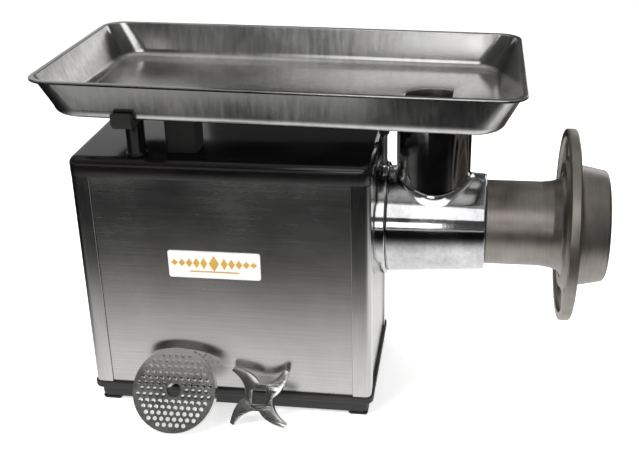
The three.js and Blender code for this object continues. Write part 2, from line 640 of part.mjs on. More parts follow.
function addWorm() {
  const tailSquare = alongX(square(MIDDLE_Y, HEAD_Z, WORM.square), WORM.tail, NECK.end);
  const spindle = latheX(
    [
      [0, NECK.end - 4],
      [WORM.journal, NECK.end - 4],
      [WORM.journal, CASTING.wallEnd + 0.6],
      [WORM.core - 1.6, WORM.start + 2],
      [WORM.core - 1.6, WORM.end + 1],
      [WORM.core - 3, WORM.end + 4],
      [0, WORM.end + 4],
    ],
    MIDDLE_Y,
    HEAD_Z,
  );
  const stud = alongX(square(MIDDLE_Y, HEAD_Z, STUD.square), WORM.end + 2, STUD.knifeEnd);
  const pin = rodX(STUD.pin, STUD.knifeEnd - 2, STUD.pinEnd, HEAD_Z, SMALL_ROUND);
  add("feed_worm", join(spindle, tailSquare, flightGeometry(), stud, pin), machinedSteel());
}

// A knife's outline about the origin: a hub with swept arms, and a square hole.
function knifeShape() {
  const shape = new THREE.Shape();
  const turn = (2 * Math.PI) / KNIFE.arms;
  const at = (radius, angle) => [radius * Math.cos(angle), radius * Math.sin(angle)];
  for (let i = 0; i < KNIFE.arms; i++) {
    const a = i * turn + Math.PI / 4;
    const start = at(KNIFE.hub, a - 0.62);
    if (i === 0) shape.moveTo(...start);
    else shape.lineTo(...start);
    shape.quadraticCurveTo(...at(KNIFE.tip * 0.66, a - 0.3), ...at(KNIFE.tip, a - 0.1));
    shape.lineTo(...at(KNIFE.tip - 1.5, a + 0.14));
    shape.quadraticCurveTo(...at(KNIFE.tip * 0.55, a + 0.3), ...at(KNIFE.hub + 1, a + 0.62));
  }
  return withHoles(shape, new THREE.Path(square(0, 0, KNIFE.square).getPoints().slice(0, 4)));
}

const knifeGeometry = () => extrude(knifeShape(), KNIFE.width, { curveSegments: 3 });
const plateGeometry = () => extrude(withHoles(disc(0, 0, PLATE.radius, BIG_ROUND), circleHole(0, 0, PLATE.bore, SMALL_ROUND)), PLATE.width);

function addCutters() {
  const place = (geometry, start) => geometry.applyMatrix4(TO_YZ).translate(start, MIDDLE_Y, HEAD_Z);
  add("cutting_knife", place(knifeGeometry(), KNIFE.start), polishedSteel());
  add("cutting_plate", place(plateGeometry(), PLATE.start), polishedSteel());
}

function ringWindow(middle) {
  const { inner, outer, halfAngle } = RING_WINDOWS;
  const half = THREE.MathUtils.degToRad(halfAngle);
  const shape = new THREE.Shape();
  shape.absarc(MIDDLE_Y, HEAD_Z, outer, middle - half, middle + half, false);
  shape.absarc(MIDDLE_Y, HEAD_Z, inner, middle + half, middle - half, true);
  return alongX(shape, RING.back - 5, RING.back + RING.rimWidth + 10, { curveSegments: 4 });
}

function addRingNut() {
  const { back, rimWidth, outer, dish, web, nose, noseEnd, mouthEnd } = RING;
  const lipFace = PLATE.start + PLATE.width + 0.4;
  const webFront = back + dish + web;
  const body = latheX(
    [
      [THREAD_BORE, back],
      [72, back],
      [75, back + dish],
      [100, back + dish],
      [102, back],
      [outer - 1.5, back],
      [outer, back + 1.5],
      [outer, back + rimWidth - 1.5],
      [outer - 1.5, back + rimWidth],
      [102, back + rimWidth],
      [100, webFront],
      [80, webFront],
      [nose + 4, back + rimWidth + 1],
      [nose, back + rimWidth + 6],
      [noseEnd, mouthEnd - 2],
      [noseEnd - 3, mouthEnd],
      [52, mouthEnd],
      [46, lipFace + 5],
      [46, lipFace],
      [THREAD_BORE, lipFace],
      [THREAD_BORE, back],
    ],
    MIDDLE_Y,
    HEAD_Z,
    BIG_ROUND,
  );
  const windows = Array.from({ length: RING_WINDOWS.count }, (_, i) =>
    ringWindow(UP + (i / RING_WINDOWS.count) * 2 * Math.PI),
  );
  add("ring_nut", cut(body, ...windows), greyCasting());
}

// ---------------------------------------------------------------- tray and its support

// Height of the pitched tray's underside at a place along X.
const trayUnderside = (x) => TRAY.underside + (THROAT.x - x) * Math.tan(TRAY.pitch);

function addTray() {
  const { centreX, underside, height, sheet, pitch } = TRAY;
  const offset = (level, rise, inset) => ({
    rise,
    halfLength: level.halfLength - inset,
    halfDepth: level.halfDepth - inset,
    round: level.round - inset,
  });
  const shell = loft(TRAY_LEVELS);
  const inner = loft(TRAY_LEVELS.map((level) => offset(level, level.rise + sheet, sheet)));
  const lip = loft([offset(LIP, LIP_BOTTOM, 0), offset(LIP, height, 0)]);
  const underLip = loft([offset(LIP, LIP_BOTTOM - 1, sheet), offset(LIP, height - sheet, sheet)]);
  const bowl = cut(join(shell, cut(lip, underLip)), inner).translate(centreX - THROAT.x, 0, 0);
  const spigot = latheZ(rodPoints(SPIGOT.outer, -SPIGOT.depth, sheet), 0, 0);
  const hole = latheZ(rodPoints(SPIGOT.inner, -SPIGOT.depth - 1, sheet + 1), 0, 0);

  // The tray slopes a little down to the throat, and turns about the throat's own axis.
  const holder = new THREE.Group();
  holder.position.set(THROAT.x, MIDDLE_Y, underside);
  holder.rotation.y = pitch;
  layout.add(holder);
  add("feed_tray", cut(join(bowl, spigot), hole), brushedSteel(), holder);
}

function addTraySupport() {
  const { x, y, radius } = SUPPORT_POST;
  const floor = CAP.top + GAP;
  const armTop = trayUnderside(HOOK.start + HOOK.width) - 0.4;
  const armBottom = armTop - HOOK.arm;
  const top = armBottom - GAP;
  const post = latheZ(
    [[0, floor], [radius - 2, floor], [radius, floor + 4], [radius, top], [0, top]],
    x,
    y,
  );
  add("tray_post", post, mattBlack());

  // The hook runs forward under the tray and turns up in front of its lower bend.
  const outline = [
    [y + 12, armBottom],
    [y + 12, armTop],
    [-22, armTop],
    [-29, armTop + 2],
    [-33.5, armTop + 9],
    [-34.5, armTop + HOOK.rise],
    [-40.5, armTop + HOOK.rise],
    [-42, armTop + 1],
    [-36, armBottom],
  ].map(([u, v]) => new THREE.Vector2(u, v));
  add("tray_hook", alongX(new THREE.Shape(outline), HOOK.start, HOOK.start + HOOK.width), rubber());

  const rest = roundedRectangle(REST.x, REST.y, REST.x + REST.length, REST.y + REST.depth, REST.round);
  const restTop = trayUnderside(REST.x + REST.length) - GAP;
  add("tray_rest_block", alongZ(rest, floor, restTop, { curveSegments: 2 }), rubber());
}

// ---------------------------------------------------------------- controls and electrics

function addControls() {
  const { y, z, width, height, thickness, round } = SWITCH;
  const outline = roundedRectangle(y - width / 2, z - height / 2, y + width / 2, z + height / 2, round);
  const holes = [-1, 1].map((side) => circleHole(y, z + side * BUTTON.rise, BUTTON.head + 0.6, SMALL_ROUND));
  const face = PANEL.inset - GAP;
  const plate = alongX(withHoles(outline, ...holes), face - thickness, face, { curveSegments: 3 });
  add("switch_plate", plate, mattBlack());

  const button = (side) =>
    latheX(
      [
        [0, BUTTON.front],
        [BUTTON.head - 1.5, BUTTON.front],
        [BUTTON.head, BUTTON.front + 1.5],
        [BUTTON.head, BUTTON.shoulder],
        [BUTTON.stem, BUTTON.shoulder],
        [BUTTON.stem, BUTTON.tip],
        [0, BUTTON.tip],
      ],
      y,
      z + side * BUTTON.rise,
      SMALL_ROUND,
    );
  add("start_button", button(1), finish(0x1f7a3a, 0.35, 0));
  add("stop_button", button(-1), finish(0xb3231c, 0.35, 0));

  const behind = PANEL.inset + PANEL.thickness + GAP;
  const body = alongX(rectangle(y - 20, z - 34, y + 20, z + 34), behind, behind + 36);
  const bores = [-1, 1].map((side) =>
    latheX(rodPoints(BUTTON.stem + 0.5, behind - 1, BUTTON.tip + 3.6), y, z + side * BUTTON.rise, SMALL_ROUND),
  );
  add("switch_body", cut(body, ...bores), mattBlack());
  const block = new THREE.BoxGeometry(22, 70, 24).translate(behind + 11, MIDDLE_Y, 262);
  add("terminal_block", block, finish(0xd8d4c8, 0.6, 0));
  const capacitor = latheX(rodPoints(20, 70, 150), HOUSING.depth - 24, 240, SMALL_ROUND);
  add("run_capacitor", capacitor, finish(0xd9dadb, 0.4, 0));

  const { bore, thread, nut, dome } = GLAND;
  const gland = latheX(
    [
      [bore, -16],
      [dome - 3, -16],
      [dome, -11],
      [dome, -6],
      [nut, -6],
      [nut, face],
      [thread, face],
      [thread, 10],
      [bore, 10],
      [bore, -16],
    ],
    GLAND.y,
    GLAND.z,
    SMALL_ROUND,
  );
  add("cable_gland", gland, mattBlack());
}

// ---------------------------------------------------------------- spare cutters

// Turns a flat piece drawn about the origin so that it stands and leans back by the angle.
function leaning(name, geometry, width, halfHeight, { x, lean }) {
  const rest = PANEL.inset - GAP - (width / 2) * Math.cos(lean) - halfHeight * Math.sin(lean);
  const rise = (width / 2) * Math.sin(lean) + halfHeight * Math.cos(lean);
  const holder = new THREE.Group();
  holder.position.set(x, rest, rise);
  holder.rotation.x = Math.PI / 2 - lean;
  layout.add(holder);
  add(name, geometry.translate(0, 0, -width / 2), polishedSteel(), holder);
}

function addSpares() {
  leaning("spare_plate", plateGeometry(), PLATE.width, PLATE.radius, SPARE_PLATE);
  leaning("spare_knife", knifeGeometry(), KNIFE.width, SPARE_KNIFE.halfHeight, SPARE_KNIFE);
}

// ---------------------------------------------------------------- assembly

addBase();
addPosts();
addPanels();
addCap();
addMotor();
addGears();
addGearbox();
addNeck();
addCasting();
addCutterBarrel();
addWorm();
addCutters();
addRingNut();
addTray();
addTraySupport();
addControls();
addSpares();

export default grinder;
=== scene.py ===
"""Electric meat grinder: the finishes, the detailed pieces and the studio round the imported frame."""

import math

import bmesh
import bpy
from mathutils import Matrix, Vector


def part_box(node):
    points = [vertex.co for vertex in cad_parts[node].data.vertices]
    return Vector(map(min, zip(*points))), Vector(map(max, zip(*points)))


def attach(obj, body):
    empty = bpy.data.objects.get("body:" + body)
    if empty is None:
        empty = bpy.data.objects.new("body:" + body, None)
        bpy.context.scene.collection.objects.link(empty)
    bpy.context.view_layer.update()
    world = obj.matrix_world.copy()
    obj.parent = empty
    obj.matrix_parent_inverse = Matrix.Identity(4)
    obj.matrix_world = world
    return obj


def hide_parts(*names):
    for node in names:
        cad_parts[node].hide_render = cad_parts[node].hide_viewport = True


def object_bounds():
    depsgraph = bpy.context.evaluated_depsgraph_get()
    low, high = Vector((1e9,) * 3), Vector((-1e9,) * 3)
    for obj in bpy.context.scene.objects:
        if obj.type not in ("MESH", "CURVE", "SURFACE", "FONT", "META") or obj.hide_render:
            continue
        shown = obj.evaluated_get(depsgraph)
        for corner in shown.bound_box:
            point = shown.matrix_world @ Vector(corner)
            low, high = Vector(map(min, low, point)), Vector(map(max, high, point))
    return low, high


bl_info = {
    "name": "Meat Grinder Maker",
    "version": (1, 0, 0),
    "blender": (4, 5, 0),
    "location": "3D View > Sidebar > Grinder",
    "description": "Makes the finishes and detailed pieces of an electric meat grinder",
    "category": "Object",
}

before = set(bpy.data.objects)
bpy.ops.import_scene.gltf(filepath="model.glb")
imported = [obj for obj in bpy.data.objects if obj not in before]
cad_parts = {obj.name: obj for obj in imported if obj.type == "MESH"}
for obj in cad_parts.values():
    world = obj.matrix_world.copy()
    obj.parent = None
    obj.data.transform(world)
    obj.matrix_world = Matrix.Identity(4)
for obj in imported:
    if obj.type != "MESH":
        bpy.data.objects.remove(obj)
CAD_BOX = [list(corner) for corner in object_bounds()]

# The housing's own axes, in millimetres: x from its closed end, y from its front, z from the floor.
CAP_LOW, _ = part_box("top_cap")
CAP_OVERHANG = 1.0
ORIGIN_X = CAP_LOW.x + CAP_OVERHANG / 1000
ORIGIN_Y = CAP_LOW.y + CAP_OVERHANG / 1000
LENGTH, DEPTH = 340.0, 194.0
MIDDLE = DEPTH / 2
HEAD_Z = 220.0
HEAD = (MIDDLE, HEAD_Z)
THROAT_X = 403.0
TRAY_UNDER, TRAY_PITCH = 368.5, math.radians(1.15)
TURN = 2 * math.pi
# How far the panels' outer faces lie inside the housing's outline.
PANEL_INSET = 1.7


def to_frame(point):
    """A point of the housing's axes as a point of the frame, in metres."""
    return (point[0] / 1000 + ORIGIN_X, point[1] / 1000 + ORIGIN_Y, point[2] / 1000)


# ---------------------------------------------------------------- finishes


class Finish:
    """One node material, with short calls for the nodes that finishes share."""

    def __init__(self, name):
        self.material = bpy.data.materials.new(name)
        self.material.use_nodes = True
        self.nodes = self.material.node_tree.nodes
        self.links = self.material.node_tree.links
        self.shader = self.nodes["Principled BSDF"]
        self.place = self.nodes.new("ShaderNodeTexCoord").outputs["Object"]

    def stretched(self, scale):
        node = self.nodes.new("ShaderNodeMapping")
        node.inputs["Scale"].default_value = scale
        self.links.new(self.place, node.inputs["Vector"])
        return node.outputs["Vector"]

    def noise(self, scale, detail=3.0, roughness=0.5, stretch=None, distortion=0.0):
        node = self.nodes.new("ShaderNodeTexNoise")
        node.inputs["Scale"].default_value = scale
        node.inputs["Detail"].default_value = detail
        node.inputs["Roughness"].default_value = roughness
        node.inputs["Distortion"].default_value = distortion
        self.links.new(self.stretched(stretch) if stretch else self.place, node.inputs["Vector"])
        return node.outputs["Fac"]

    def ranged(self, value, low, high, start=0.3, end=0.7):
        node = self.nodes.new("ShaderNodeMapRange")
        for name, number in (("From Min", start), ("From Max", end), ("To Min", low), ("To Max", high)):
            node.inputs[name].default_value = number
        self.links.new(value, node.inputs["Value"])
        return node.outputs["Result"]

    def mixed(self, factor, first, second):
        node = self.nodes.new("ShaderNodeMix")
        node.data_type = "RGBA"
        for name, value in (("A", first), ("B", second)):
            socket = next(s for s in node.inputs if s.name == name and s.type == "RGBA")
            if isinstance(value, bpy.types.NodeSocket):
                self.links.new(value, socket)
            else:
                socket.default_value = (*value, 1)
        factor_socket = next(s for s in node.inputs if s.name == "Factor" and s.type == "VALUE")
        self.links.new(factor, factor_socket)
        return next(s for s in node.outputs if s.type == "RGBA")

    def sum(self, first, second, share=1.0):
        node = self.nodes.new("ShaderNodeMath")
        node.operation = "MULTIPLY_ADD"
        self.links.new(second, node.inputs[0])
        node.inputs[1].default_value = share
        self.links.new(first, node.inputs[2])
        return node.outputs["Value"]

    def bumped(self, height, strength, distance):
        node = self.nodes.new("ShaderNodeBump")
        node.inputs["Strength"].default_value = strength
        node.inputs["Distance"].default_value = distance
        self.links.new(height, node.inputs["Height"])
        self.links.new(node.outputs["Normal"], self.shader.inputs["Normal"])

    def colour(self, socket):
        self.links.new(socket, self.shader.inputs["Base Color"])

    def rough(self, socket):
        self.links.new(socket, self.shader.inputs["Roughness"])

    def set(self, **values):
        for name, value in values.items():
            self.shader.inputs[name.replace("_", " ")].default_value = value
        return self


def metal(name, light, dark, roughness, grain, grain_scale, bump, cloud_scale=9.0, wave=0.0, wave_scale=14.0):
    """A metal with a stretched grain, cloudy wear in its colour and a slightly wavy face."""
    finish = Finish(name).set(Metallic=1.0)
    lines = finish.noise(grain_scale, 2.0, 0.6, grain)
    clouds = finish.noise(cloud_scale, 4.0, 0.55, distortion=0.4)
    both = finish.sum(clouds, lines, 0.45)
    finish.colour(finish.mixed(finish.ranged(both, 0, 1, 0.5, 0.95), dark, light))
    finish.rough(finish.ranged(both, roughness[0], roughness[1], 0.5, 0.95))
    height = lines
    if wave:
        height = finish.sum(lines, finish.noise(wave_scale, 1.0, 0.4), wave)
    finish.bumped(height, 0.5, bump)
    return finish.material


def moulded(name, light, dark, roughness, grain_scale, bump, coat=0.0, specular=0.5):
    """A moulded plastic, rubber or paint: a fine skin with dust and handling in its colour."""
    finish = Finish(name).set(Metallic=0.0, Coat_Weight=coat, Coat_Roughness=0.06)
    finish.shader.inputs["Specular IOR Level"].default_value = specular
    skin = finish.noise(grain_scale, 3.0, 0.6)
    clouds = finish.noise(16.0, 4.0, 0.6, distortion=0.3)
    both = finish.sum(clouds, skin, 0.35)
    finish.colour(finish.mixed(finish.ranged(both, 0, 1, 0.45, 0.9), dark, light))
    finish.rough(finish.ranged(both, roughness[0], roughness[1], 0.45, 0.9))
    finish.bumped(skin, 0.4, bump)
    return finish.material


def make_finishes():
    """Every finish of the grinder, by the name of the record's slot or of the small part it is for."""
    return {
        "tray_steel": metal(
            "pressed stainless", (0.74, 0.735, 0.72), (0.5, 0.495, 0.485), (0.16, 0.27),
            (1.0, 1.0, 0.05), 190.0, 0.00006, 11.0, 1.8, 15.0,
        ),
        "panel_steel": metal(
            "brushed stainless", (0.66, 0.65, 0.635), (0.5, 0.49, 0.48), (0.2, 0.3),
            (0.012, 1.0, 1.0), 900.0, 0.00003, 7.0, 0.8, 5.0,
        ),
        "post_steel": metal(
            "drawn stainless", (0.7, 0.69, 0.675), (0.52, 0.51, 0.5), (0.15, 0.24),
            (1.0, 1.0, 0.015), 800.0, 0.00003,
        ),
        "gloss_black": moulded(
            "gloss black moulding", (0.009, 0.008, 0.0075), (0.004, 0.0035, 0.0035), (0.08, 0.16),
            420.0, 0.00002, 0.2, 0.4,
        ),
        "matt_black": moulded(
            "matt black moulding", (0.03, 0.03, 0.031), (0.015, 0.015, 0.016), (0.45, 0.62), 900.0, 0.00012,
        ),
        "black_rubber": moulded(
            "black rubber", (0.022, 0.021, 0.02), (0.01, 0.01, 0.01), (0.6, 0.8), 700.0, 0.00015, 0.0, 0.35,
        ),
        "label_white": moulded(
            "white enamel", (0.9, 0.89, 0.87), (0.82, 0.81, 0.78), (0.3, 0.42), 500.0, 0.00003,
        ),
        "label_gold": moulded(
            "gold enamel", (0.72, 0.43, 0.07), (0.58, 0.33, 0.045), (0.25, 0.36), 600.0, 0.00003,
        ),
        "motor_paint": moulded(
            "motor paint", (0.06, 0.085, 0.11), (0.035, 0.052, 0.07), (0.4, 0.55), 350.0, 0.0001,
        ),
        "core_steel": metal(
            "machined steel", (0.52, 0.51, 0.49), (0.36, 0.35, 0.34), (0.28, 0.42), (1.0, 0.04, 0.04), 500.0, 0.00005,
        ),
        "cast_aluminium": metal(
            "polished aluminium", (0.8, 0.8, 0.8), (0.5, 0.5, 0.51), (0.06, 0.15),
            (1.0, 0.6, 0.6), 160.0, 0.00009, 18.0, 3.5, 22.0,
        ),
        "grey_casting": metal(
            "turned grey iron", (0.4, 0.37, 0.34), (0.26, 0.236, 0.212), (0.33, 0.46),
            (1.0, 0.05, 0.05), 520.0, 0.00007, 26.0, 0.8, 40.0,
        ),
        "bronze": metal(
            "bearing bronze", (0.62, 0.42, 0.2), (0.45, 0.29, 0.13), (0.25, 0.4), (1, 1, 1), 300.0, 0.00004,
        ),
        "polished_steel": metal(
            "ground steel", (0.78, 0.77, 0.75), (0.55, 0.545, 0.535), (0.13, 0.26),
            (1.0, 1.0, 1.0), 420.0, 0.00005, 40.0,
        ),
        "terminal_plastic": moulded(
            "pale terminal plastic", (0.68, 0.65, 0.56), (0.58, 0.55, 0.47), (0.4, 0.55), 500.0, 0.00005,
        ),
        "green_plastic": moulded(
            "green button", (0.02, 0.23, 0.06), (0.012, 0.17, 0.045), (0.25, 0.38), 500.0, 0.00003,
        ),
        "red_plastic": moulded("red button", (0.5, 0.025, 0.016), (0.38, 0.018, 0.012), (0.25, 0.38), 500.0, 0.00003),
    }


FINISHES = make_finishes()


# ---------------------------------------------------------------- shapes, as (points, faces) in millimetres


def rounded(points, radii, steps=5, closed=True):
    """A flat line with its corners rounded. Radii is one number, or one for each corner."""
    result = []
    count = len(points)
    for i, point in enumerate(points):
        radius = radii[i] if isinstance(radii, (list, tuple)) else radii
        if radius <= 0 or (not closed and i in (0, count - 1)):
            result.append(tuple(point))
            continue
        here = Vector(point)
        back = Vector(points[i - 1]) - here
        ahead = Vector(points[(i + 1) % count]) - here
        angle = back.angle(ahead)
        reach = min(radius / math.tan(angle / 2), 0.48 * back.length, 0.48 * ahead.length)
        start, end = here + back.normalized() * reach, here + ahead.normalized() * reach
        for step in range(steps + 1):
            t = step / steps
            result.append(tuple((1 - t) ** 2 * start + 2 * t * (1 - t) * here + t * t * end))
    return result


def lathe(profile, axis, centre, steps=96, closed=True):
    """A profile of (radius, along) turned about an axis, which crosses the other two directions at centre."""
    rows = len(profile)
    points, faces = [], []
    for step in range(steps):
        c, s = math.cos(TURN * step / steps), math.sin(TURN * step / steps)
        for radius, along in profile:
            across = (centre[0] + radius * c, centre[1] + radius * s)
            points.append((along, *across) if axis == "x" else (*across, along))
    for step in range(steps):
        here, ahead = step * rows, (step + 1) % steps * rows
        for row in range(rows if closed else rows - 1):
            after = (row + 1) % rows
            faces.append((here + row, ahead + row, ahead + after, here + after))
    return points, faces


def loft(rings, closed=False):
    """Rings of points joined one to the next."""
    count = len(rings[0])
    points = [point for ring in rings for point in ring]
    faces = []
    for level in range(len(rings) if closed else len(rings) - 1):
        a, b = level * count, (level + 1) % len(rings) * count
        faces += [(a + i, a + (i + 1) % count, b + (i + 1) % count, b + i) for i in range(count)]
    if not closed:
        faces.append(tuple(reversed(range(count))))
        faces.append(tuple(range(len(points) - count, len(points))))
    return points, faces


def box_outline(low, high, radius, steps=6):
    """A flat rectangle with rounded corners, counter-clockwise from its lower right corner."""
    outline = []
    corners = ((high[0], low[1], -90), (high[0], high[1], 0), (low[0], high[1], 90), (low[0], low[1], 180))
    for x, y, start in corners:
        middle_x = x - math.copysign(radius, x - (low[0] + high[0]) / 2)
        middle_y = y - math.copysign(radius, y - (low[1] + high[1]) / 2)
        for step in range(steps + 1):
            angle = math.radians(start + 90 * step / steps)
            outline.append((middle_x + radius * math.cos(angle), middle_y + radius * math.sin(angle)))
    return outline


def stacked(levels, low, high, steps=6):
    """A stack of rounded rectangles: each level is (height, inset, corner radius)."""
    rings = []
    for z, inset, radius in levels:
        near, far = (low[0] + inset, low[1] + inset), (high[0] - inset, high[1] - inset)
        rings.append([(x, y, z) for x, y in box_outline(near, far, radius, steps)])
    return loft(rings)


def prism(outline, axis, start, end):
    """A flat outline pushed along an axis: (y, z) along x, (x, z) along y, or (x, y) along z."""
    put = {
        "x": lambda u, v, w: (w, u, v),
        "y": lambda u, v, w: (u, w, v),
        "z": lambda u, v, w: (u, v, w),
    }[axis]
    return loft([[put(u, v, w) for u, v in outline] for w in (start, end)])


def joined(*shapes):
    """Several shapes as one, side by side: nothing is merged."""
    points, faces = [], []
    for more, more_faces in shapes:
        start = len(points)
        points += more
        faces += [tuple(i + start for i in face) for face in more_faces]
    return points, faces


# ---------------------------------------------------------------- pieces


def smooth(mesh, angle):
    """Smooth shading, but for edges sharper than the angle in degrees."""
    mesh.polygons.foreach_set("use_smooth", [True] * len(mesh.polygons))
    mesh.set_sharp_from_angle(angle=math.radians(angle))


def new_piece(name, mesh):
    piece = bpy.data.objects.new(name, mesh)
    bpy.context.scene.collection.objects.link(piece)
    return piece


def make_piece(name, shape, finish, angle=34.0, bevel=0.0, segments=3):
    """A piece from a shape in the housing's axes, with its faces outwards and its hard edges eased by bevel."""
    mesh = bpy.data.meshes.new(name)
    mesh.from_pydata([to_frame(point) for point in shape[0]], [], shape[1])
    build = bmesh.new()
    build.from_mesh(mesh)
    bmesh.ops.remove_doubles(build, verts=build.verts, dist=2e-6)
    bmesh.ops.recalc_face_normals(build, faces=build.faces)
    build.to_mesh(mesh)
    build.free()
    mesh.materials.append(FINISHES[finish])
    smooth(mesh, angle)
    piece = new_piece(name, mesh)
    if bevel:
        edge = piece.modifiers.new("Eased edges", "BEVEL")
        edge.width = bevel / 1000
        edge.segments = segments
        edge.limit_method = "ANGLE"
        edge.angle_limit = math.radians(38)
        edge.harden_normals = True
    return piece


def evaluated(piece, name=None):
    """The piece's mesh with its modifiers applied, on its own object."""
    depsgraph = bpy.context.evaluated_depsgraph_get()
    mesh = bpy.data.meshes.new_from_object(piece.evaluated_get(depsgraph))
    mesh.name = name or piece.name
    return mesh


def carved(piece, *cutters, angle=34.0):
    """The piece with the cutters' solids taken out of it."""
    for cutter in cutters:
        tool = make_piece("cutter", cutter, "core_steel")
        cut = piece.modifiers.new("Cut", "BOOLEAN")
        cut.operation = "DIFFERENCE"
        cut.solver = "EXACT"
        cut.object = tool
        bpy.context.view_layer.update()
        mesh = evaluated(piece)
        piece.modifiers.clear()
        piece.data = mesh
        bpy.data.objects.remove(tool)
    smooth(piece.data, angle)
    return piece


def mount(piece, body, slot, *nodes):
    """The piece moves with a body and stands for CAD nodes, which it hides. The slot is not used."""
    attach(piece, body)
    if nodes:
        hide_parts(*nodes)
    return piece


def refinish(slot, *nodes):
    """CAD nodes that keep their shape get their finish."""
    for node in nodes:
        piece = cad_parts[node]
        piece.data.materials.clear()
        piece.data.materials.append(FINISHES[slot])


# ---------------------------------------------------------------- node trees that make geometry


class Tree:
    """A Geometry Nodes tree with named inputs."""

    def __init__(self, name):
        self.group = bpy.data.node_groups.new(name, "GeometryNodeTree")
        self.group.interface.new_socket(name="Geometry", in_out="OUTPUT", socket_type="NodeSocketGeometry")
        self.inlet = self.group.nodes.new("NodeGroupInput")
        self.outlet = self.group.nodes.new("NodeGroupOutput")

    def input(self, name, kind="NodeSocketFloat"):
        self.group.interface.new_socket(name=name, in_out="INPUT", socket_type=kind)
        return self.inlet.outputs[name]

    def node(self, kind, links=(), **settings):
        """A node of a kind, with settings on it and links of {input name or number: socket or value}."""
        node = self.group.nodes.new(kind)
        for key, value in settings.items():
            setattr(node, key, value)
        for key, value in dict(links).items():
            if isinstance(value, bpy.types.NodeSocket):
                self.group.links.new(value, node.inputs[key])
            else:
                node.inputs[key].default_value = value
        return node

    def math(self, operation, first, second=0.0):
        return self.node("ShaderNodeMath", {0: first, 1: second}, operation=operation).outputs[0]

    def finish(self, geometry):
        real = self.node("GeometryNodeRealizeInstances", {"Geometry": geometry})
        painted = self.node(
            "GeometryNodeSetMaterial",
            {"Geometry": real.outputs["Geometry"], "Material": self.input("Finish", "NodeSocketMaterial")},
        )
        self.group.links.new(painted.outputs["Geometry"], self.outlet.inputs["Geometry"])


def grown(name, tree, values):
    """The mesh that a tree makes from its named values."""
    host = new_piece(name, bpy.data.meshes.new(name))
    grow = host.modifiers.new("Grow", "NODES")
    grow.node_group = tree.group
    for item in tree.group.interface.items_tree:
        if item.item_type == "SOCKET" and item.in_out == "INPUT":
            grow[item.identifier] = values[item.name]
    bpy.context.view_layer.update()
    mesh = evaluated(host, name)
    host.modifiers.clear()
    bpy.data.objects.remove(host)
    return mesh


def perforated_tree():
    """A disc with round holes on a hexagonal grid, and one hole in its middle."""
    tree = Tree("Perforated plate")
    radius, width = tree.input("Radius"), tree.input("Width")
    hole, pitch = tree.input("Hole radius"), tree.input("Pitch")
    centre_hole, hub, margin = tree.input("Centre hole radius"), tree.input("Hub radius"), tree.input("Rim")

    disc = tree.node("GeometryNodeMeshCylinder", {"Vertices": 128, "Radius": radius, "Depth": width})
    count = 17
    span = tree.math("MULTIPLY", pitch, float(count - 1))
    row_pitch = tree.math("MULTIPLY", pitch, math.sqrt(3) / 2)
    rows_span = tree.math("MULTIPLY", row_pitch, float(count - 1))
    grid = tree.node(
        "GeometryNodeMeshGrid", {"Size X": span, "Size Y": rows_span, "Vertices X": count, "Vertices Y": count}
    )
    place = tree.node("GeometryNodeInputPosition").outputs["Position"]
    parts = tree.node("ShaderNodeSeparateXYZ", {"Vector": place})
    row = tree.math("ROUND", tree.math("DIVIDE", parts.outputs["Y"], row_pitch))
    odd = tree.math("ABSOLUTE", tree.math("MODULO", row, 2.0))
    shift = tree.math("MULTIPLY", tree.math("MULTIPLY", odd, pitch), 0.5)
    offset = tree.node("ShaderNodeCombineXYZ", {"X": shift})
    hexagonal = tree.node(
        "GeometryNodeSetPosition", {"Geometry": grid.outputs["Mesh"], "Offset": offset.outputs["Vector"]}
    )
    away = tree.node("ShaderNodeVectorMath", {0: place}, operation="LENGTH").outputs["Value"]
    outside = tree.math("GREATER_THAN", away, tree.math("SUBTRACT", radius, margin))
    inside = tree.math("LESS_THAN", away, hub)
    unwanted = tree.math("MAXIMUM", outside, inside)
    kept = tree.node(
        "GeometryNodeDeleteGeometry",
        {"Geometry": hexagonal.outputs["Geometry"], "Selection": unwanted},
        domain="POINT",
    )
    tool_depth = tree.math("MULTIPLY", width, 1.5)
    tool = tree.node("GeometryNodeMeshCylinder", {"Vertices": 14, "Radius": hole, "Depth": tool_depth})
    tools = tree.node(
        "GeometryNodeInstanceOnPoints", {"Points": kept.outputs["Geometry"], "Instance": tool.outputs["Mesh"]}
    )
    real_tools = tree.node("GeometryNodeRealizeInstances", {"Geometry": tools.outputs["Instances"]})
    middle = tree.node("GeometryNodeMeshCylinder", {"Vertices": 40, "Radius": centre_hole, "Depth": tool_depth})
    all_tools = tree.node("GeometryNodeJoinGeometry", {"Geometry": real_tools.outputs["Geometry"]})
    tree.group.links.new(middle.outputs["Mesh"], all_tools.inputs["Geometry"])
    cut = tree.node(
        "GeometryNodeMeshBoolean",
        {0: disc.outputs["Mesh"], 1: all_tools.outputs["Geometry"]},
        operation="DIFFERENCE",
        solver="EXACT",
    )
    tree.finish(cut.outputs["Mesh"])
    return tree


